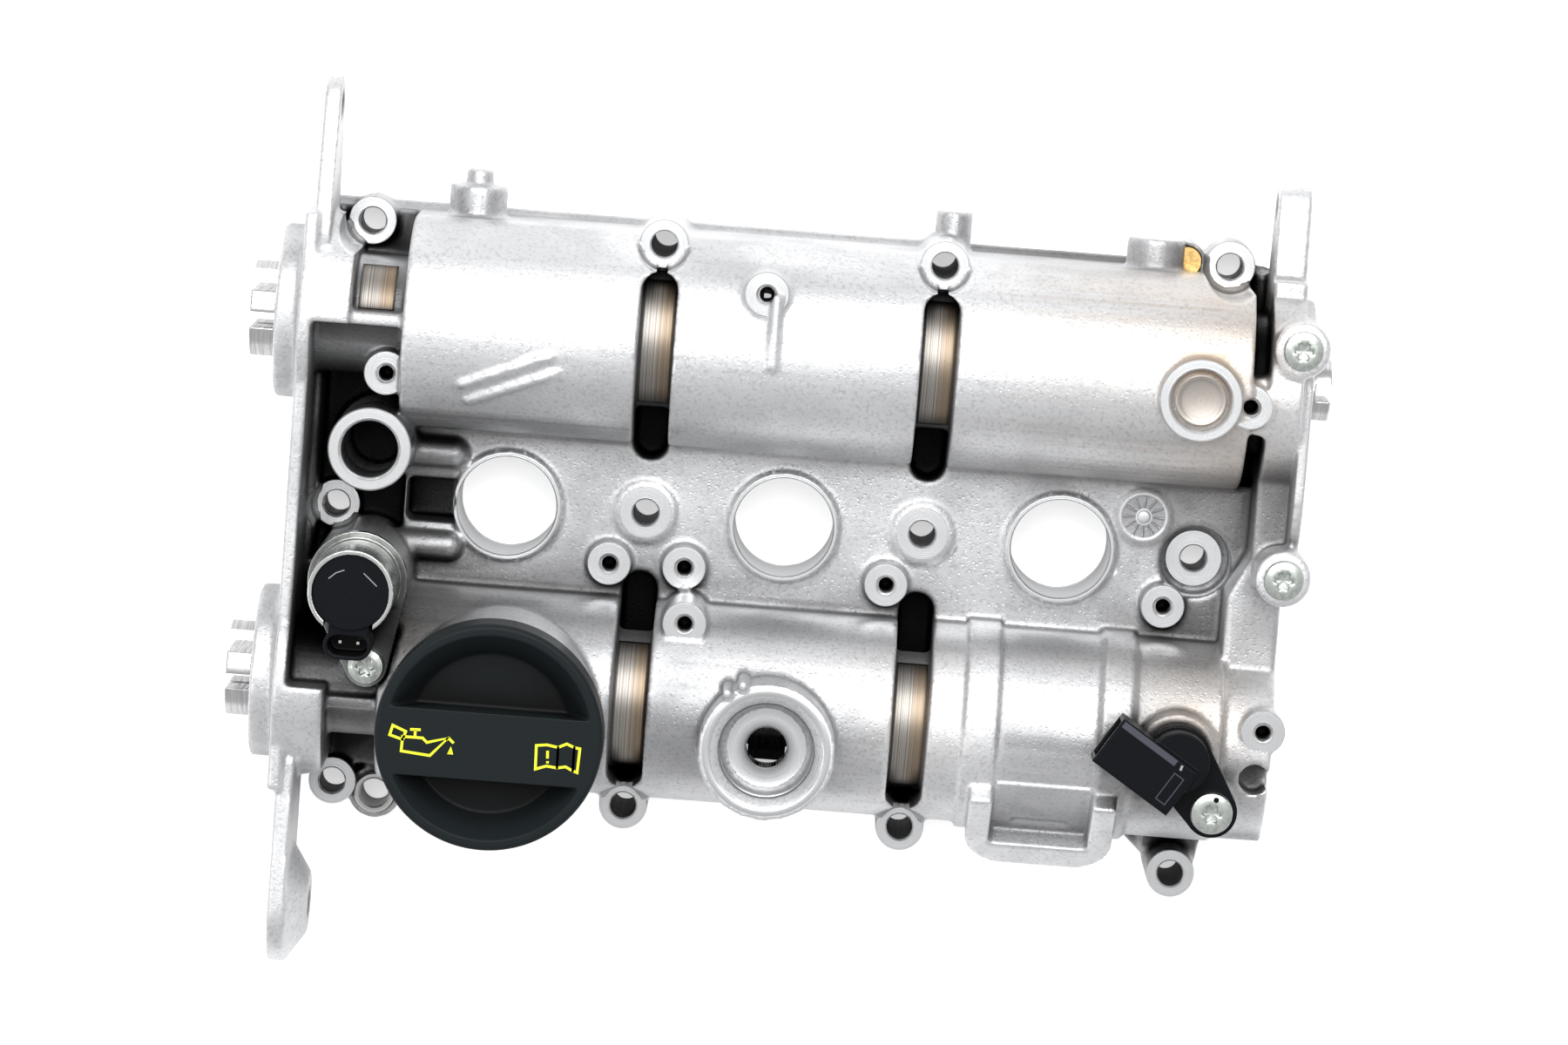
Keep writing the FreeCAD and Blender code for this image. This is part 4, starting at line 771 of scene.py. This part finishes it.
# %% [markdown]
# ## Sleeve, plugs and seals
# All of these come off the lathe as well. The sleeve is a tube with rounded mouths, and the core plug is a
# pressed cup. A shaft seal has a lip that leans on the shaft and a groove in its face. Its profile runs
# from the shaft to the outer edge, and is stretched to each seal's own size.

# %% Turned hardware
sleeve = turned([4.2, 4.2, 4.7, 5.6, 6.0, 6.0, 5.6, 4.7], [0.4, 15.0, 15.5, 15.5, 15.0, 0.4, 0, 0],
                -116, -90.8, segments=72)
turned_piece("locating_sleeve_turned", "cover", turned_steel, [sleeve], ["locating_sleeve"])
plug = turned([0, 5.3, 5.8, 6.6, 7.1, 7.5, 7.5, 0], [64.45, 64.45, 64.6, 65.0, 65.05, 64.8, 63.5, 63.5],
              *core_plug_place, segments=72)
turned_piece("core_plug_pressed", "cover", plug_metal, [plug], ["core_plug"])
lip_share = np.array([0.0, 0.0, 2.2, 3.0, 4.2, 4.6, 5.6, 6.9, 6.9]) / 6.9
lip_height = np.array([6.0, 1.6, 0.9, 2.2, 2.2, 0.6, 0.0, 0.0, 6.0])
seals = {"intake_timing_seal": (-152, -shaft_y, 13.06, 19.94, 1),
         "exhaust_timing_seal": (-152, shaft_y, 13.06, 19.94, 1),
         "output_seal": (150, shaft_y, 12.56, 17.94, -1)}  # x, y, shaft radius, outer radius, way inwards
for name, (x, y, shaft, outer, inwards) in seals.items():
    r = shaft + lip_share * (outer - shaft)
    points, faces, values = turned(r, inwards * lip_height, x, y, shaft_z, 96, axis="x")
    turned_piece(name + "_lip", "cover", rubber, [(points, faces, 0 * values)], [name])

# %% [markdown]
# ## Filler cap
# The cap is moulded, so its edges are soft too: the same rebuilding from small cubes rounds them. Its
# depth, the painted shade in its pockets, comes from its own height map, since the cap lifts and turns
# away from the casting. Its highest points are pressed flat so that the print lies on a level bar.

# %% Cap grip
bar_top = 105.93
cap_mesh = soft["cap_grip"]
# Painted shade in the cap's own pockets, from its own height map.
spots = darken(cap_mesh, height_map(crust["cap_grip"], 0.0), 0.6)
spots[:, 2] = np.minimum(spots[:, 2], bar_top)
cap_mesh.vertices.foreach_set("co", (spots * MM).ravel())
cap_mesh.update()
link_mesh(cap_mesh, "cap", "filler_cap", cap_plastic, ["cap_grip"])

# %% [markdown]
# The two pictograms are printed: an oil can with a drop, and an open book. An image would do it, but would
# have to be drawn and stored, so each line is a flat ribbon along a few corners. The corners are mitred by
# the mean of the two neighbouring directions.


# %% Ribbons along corners
def ribbon(corners, width, closed=False, z=105.94, t=0.045, middle=(-79.0, -57.0)):
    """Each corner goes out to both sides along the mean normal, stretched so that the width stays, and up and
    down by the half thickness t. The corners are given from the middle."""
    c = np.array(corners, float) + middle
    before = np.roll(c, 1, axis=0) if closed else np.vstack([2 * c[:1] - c[1:2], c[:-1]])
    after = np.roll(c, -1, axis=0) if closed else np.vstack([c[1:], 2 * c[-1:] - c[-2:-1]])
    d1 = (c - before) / np.linalg.norm(c - before, axis=1, keepdims=True)
    d2 = (after - c) / np.linalg.norm(after - c, axis=1, keepdims=True)
    side = np.stack([-(d1 + d2)[:, 1], (d1 + d2)[:, 0]], axis=1)
    side /= np.linalg.norm(side, axis=1, keepdims=True)
    stretch = np.clip(np.abs((side * np.stack([-d1[:, 1], d1[:, 0]], axis=1)).sum(axis=1)), 0.5, 1)
    side *= (width / 2 / stretch)[:, None]
    section = [(c + side, z - t), (c - side, z - t), (c - side, z + t), (c + side, z + t)]
    rows = [np.column_stack([place, np.full(len(c), height)]) for place, height in section]
    points = np.stack(rows, axis=1).reshape(-1, 3)
    faces = grid_faces(len(c), 4, close_rows=closed)
    if not closed:
        faces = np.vstack([faces, [[3, 2, 1, 0]], [[len(c) * 4 - 4 + k for k in range(4)]]])
    return points, outward(points, faces), np.zeros(len(points))


def ribbon_piece(name, body, material, ribbons):
    """Gather ribbons into one piece."""
    points, faces, _ = gather(ribbons)
    return link_mesh(mesh_of(name, points, faces), name, body, material)


# %% [markdown]
# The corners are given in millimetres from the cap's middle, and each line says whether it closes on itself.
# The ribbons stand on the bar by less than a tenth of a millimetre, as print does.

# %% Printed pictograms
can_lines = [([(-28.0, -1.1), (-27.3, 1.7), (-23.5, 0.2), (-24.2, -2.2)], True),
             ([(-24.3, -1.3), (-18.6, -1.3), (-17.3, -2.5), (-11.4, -0.8), (-16.2, -6.2), (-24.4, -5.5)],
              True),
             ([(-12.0, -1.4), (-11.2, -0.8), (-9.7, -2.1)], False), ([(-22.3, 0.9), (-19.3, 1.0)], False),
             ([(-20.8, 0.8), (-20.8, -0.9)], False), ([(-10.4, -3.8), (-10.8, -5.0), (-10.1, -5.0)], True)]
book_lines = [([(13.8, -0.9), (16.8, -0.5), (20.0, -1.0), (20.1, -6.9), (17.0, -6.6), (14.0, -7.7)], True),
              ([(20.0, -1.0), (22.4, 0.2), (24.6, -0.7), (24.6, -7.4), (22.5, -6.4), (20.1, -6.9)], True),
              ([(24.6, -0.7), (26.2, -0.9), (25.9, -7.8), (24.6, -7.4)], True),
              ([(17.1, -2.2), (17.2, -4.4)], False), ([(17.3, -5.2), (17.3, -5.8)], False)]
printed = [ribbon(corners, 0.75, closed) for corners, closed in can_lines + book_lines]
ribbon_piece("cap_pictograms", "filler_cap", print_yellow, printed)

# %% [markdown]
# ## Valve, sensor and shaft ends
# The valve's steel can is drawn and its top is moulded. The sensor is moulded all over, and the shafts'
# ends are turned and milled. All keep their solid's shape and have their edges rounded on a fine grid.
# What sits on the cover gets the same painted shade in its corners, and what turns doesn't, because its
# corners move into the light.

# %% Moulded, drawn and milled parts
finishes = {"sensor_body": (black_plastic, "black_plastic"), "valve_cap": (black_plastic, "black_plastic"),
            "valve_can": (bright_steel, "bright_steel"), "intake_drive_end": (ground_steel, "ground_steel"),
            "exhaust_drive_end": (ground_steel, "ground_steel"),
            "exhaust_output_end": (ground_steel, "ground_steel")}
for name, (material, slot) in finishes.items():
    body = nodes[name]["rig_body"]
    if body == "cover":
        # Painted shade in the corners of what sits on the cover.
        darken(soft[name], from_above)
    link_mesh(soft[name], name + "_soft", body, material, [name])

# %% [markdown]
# Two thin mould lines on the valve's round top catch the light, and the sensor's box has a rib along its
# edge and a framed field. Their lines, and a notch, are painted highlights: greys lighter than the black
# plastic, drawn like the print on the cap. The box leans against the axes, so its lines are given along and
# across it, from the middle of its screw.

# %% Lines on the valve and the sensor
# Painted highlights: grey lines where the valve's mould lines catch the light.
valve_lines = [ribbon(corners, 0.28, z=80.86, t=0.03, middle=(-122.6, -21.9))
               for corners in ([(-6.6, 3.6), (-4.6, 5.4), (-2.2, 6.4)], [(3.4, 5.9), (5.6, 4.0), (7.4, 2.4)])]
ribbon_piece("valve_mould_line_highlights", "cover", highlight_grey_plastic, valve_lines)

lean = math.radians(147.5)
along = np.array([[math.cos(lean), math.sin(lean)], [-math.sin(lean), math.cos(lean)]])
# Painted highlights on the sensor's box: its rib, frame line and notch are lighter than its black plastic.
on_box = {"sensor_rib": ([(18.2, -6.3), (27.5, -6.3), (37.2, -6.3)], 1.9, False, rib_highlight_plastic),
          "sensor_frame_line": ([(13.6, -3.8), (16.8, -3.8), (16.8, 5.3), (13.6, 5.3)], 0.3, True,
                                rib_highlight_plastic),
          "sensor_notch": ([(16.4, -6.9), (16.0, -5.4)], 0.7, False, highlight_grey_plastic)}
for name, (corners, width, closed, material) in on_box.items():
    line = ribbon(np.array(corners) @ along, width, closed, z=80.05, t=0.12, middle=(130.0, -68.0))
    ribbon_piece(name, "cover", material, [line])
# Painted shade: a small black disc on the sensor screw's head stands for the shade in a dimple.
mark = turned([0, 0.8, 0.8, 0], [0.0, 0.0, 0.22, 0.22], 131.0, -63.8, 73.22, segments=24)
turned_piece("sensor_screw_dimple_shade", "cover", black_plastic, [mark])

# %% [markdown]
# ## Finishes of the nodes that stay
# Shafts, lobes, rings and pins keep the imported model's own meshes, because their edges are ground and
# sharp. They only get a finish. The record names a slot for each node, and each slot has one material
# here.

# %% Finishes by slot
slot_materials = {"cast_aluminium": cast_metal, "ground_steel": ground_steel, "bright_steel": bright_steel,
                  "core_plug_steel": plug_metal, "screw_steel": screw_steel, "pin_metal": pin_metal,
                  "brass": brass, "seal_rubber": rubber, "black_plastic": black_plastic,
                  "cap_plastic": cap_plastic}
for entry in frame["record"]["subparts"]:
    mesh = nodes[entry["node"]].data
    mesh.materials.clear()
    mesh.materials.append(slot_materials[entry["material_slot"]])

# %% [markdown]
# ## Table, light and camera
# The part lies on a white table. Lamps strong enough to wash a table out would wash the part out too, so
# the table glows a little by itself, more to the camera than to the part's reflections. It still takes the
# part's shadow, which tells the eye that the part lies on something.

# %% Table
half, below = 4000, -0.2
corners = [[-half, -half, below], [half, -half, below], [half, half, below], [-half, half, below]]
table_mesh = mesh_of("table", np.array(corners, float), np.array([[0, 1, 2, 3]]))
table = bpy.data.objects.new("table", table_mesh)
bpy.context.scene.collection.objects.link(table)
table_white, tree, shader = new_material("table_white", (0.9, 0.9, 0.9), 0.0, 0.7)
seen = node(tree, "LightPath").outputs["Is Camera Ray"]
glow = blend_colours(tree, seen, (0.1, 0.1, 0.1, 1), (0.55, 0.55, 0.55, 1))
tree.links.new(glow, shader.inputs["Emission Color"])
shader.inputs["Emission Strength"].default_value = 1.0
table_mesh.materials.append(table_white)
print("table:", 2 * half * MM, "m wide, at", below, "mm")

# %% [markdown]
# The photograph's light is very even, with one broad source. A grey world lights every side, and shows
# white to the camera alone. A large square lamp hangs a little behind the part and gives the bright crests
# along the barrels, and a small one on the left lights the walls that face it.

# %% World and lamps
world = bpy.data.worlds.new("studio")
bpy.context.scene.world = world
world.use_nodes = True
tree = world.node_tree
seen = node(tree, "LightPath").outputs["Is Camera Ray"]
backdrop = tree.nodes["Background"]
tree.links.new(blend_colours(tree, seen, (0.64, 0.64, 0.645, 1), (1, 1, 1, 1)), backdrop.inputs["Color"])
lamps = {"softbox_back": ((0.0, 0.65, 1.2), (0.0, 0.05, 0.03), 1.1, 17.5),
         "softbox_left": ((-0.9, -0.2, 0.8), (0.0, 0.0, 0.03), 0.5, 1.6)}  # place, target, size, watts
for name, (place, target, size, power) in lamps.items():
    lamp = bpy.data.lights.new(name, "AREA")
    lamp.shape, lamp.size, lamp.energy = "SQUARE", size, power
    holder = bpy.data.objects.new(name, lamp)
    bpy.context.scene.collection.objects.link(holder)
    way = Vector(target) - Vector(place)
    holder.matrix_world = Matrix.Translation(place) @ way.to_track_quat("-Z", "Y").to_matrix().to_4x4()
    print(name, power, "W at", place)

# %% [markdown]
# The camera looks almost straight down from nearly two metres, with a long lens, leaning seven degrees and
# rolled by about four. Its place and directions were worked out so that the coil wells and the bosses fall
# where the photograph shows them.

# %% Camera
eye = Vector((0.0, 0.22996, 1.86181))
right = Vector((0.99697, 0.07717, -0.00961))
up = Vector((-0.07776, 0.98933, -0.12323))
back = right.cross(up)
lens = bpy.data.cameras.new("camera")
lens.sensor_width, lens.lens = 36.0, 143.7
lens.clip_end = 20.0
camera = bpy.data.objects.new("camera", lens)
bpy.context.scene.collection.objects.link(camera)
turn = Matrix((right, up, back)).transposed().to_4x4()
camera.matrix_world = Matrix.Translation(eye) @ turn
bpy.context.scene.camera = camera
bpy.context.scene.view_settings.view_transform = "Standard"
print("camera:", lens.lens, "mm lens,", round(eye.length, 2), "m away")

# %% [markdown]
# Last, the scene's view layer is brought up to date.

# %% The end
bpy.context.view_layer.update()
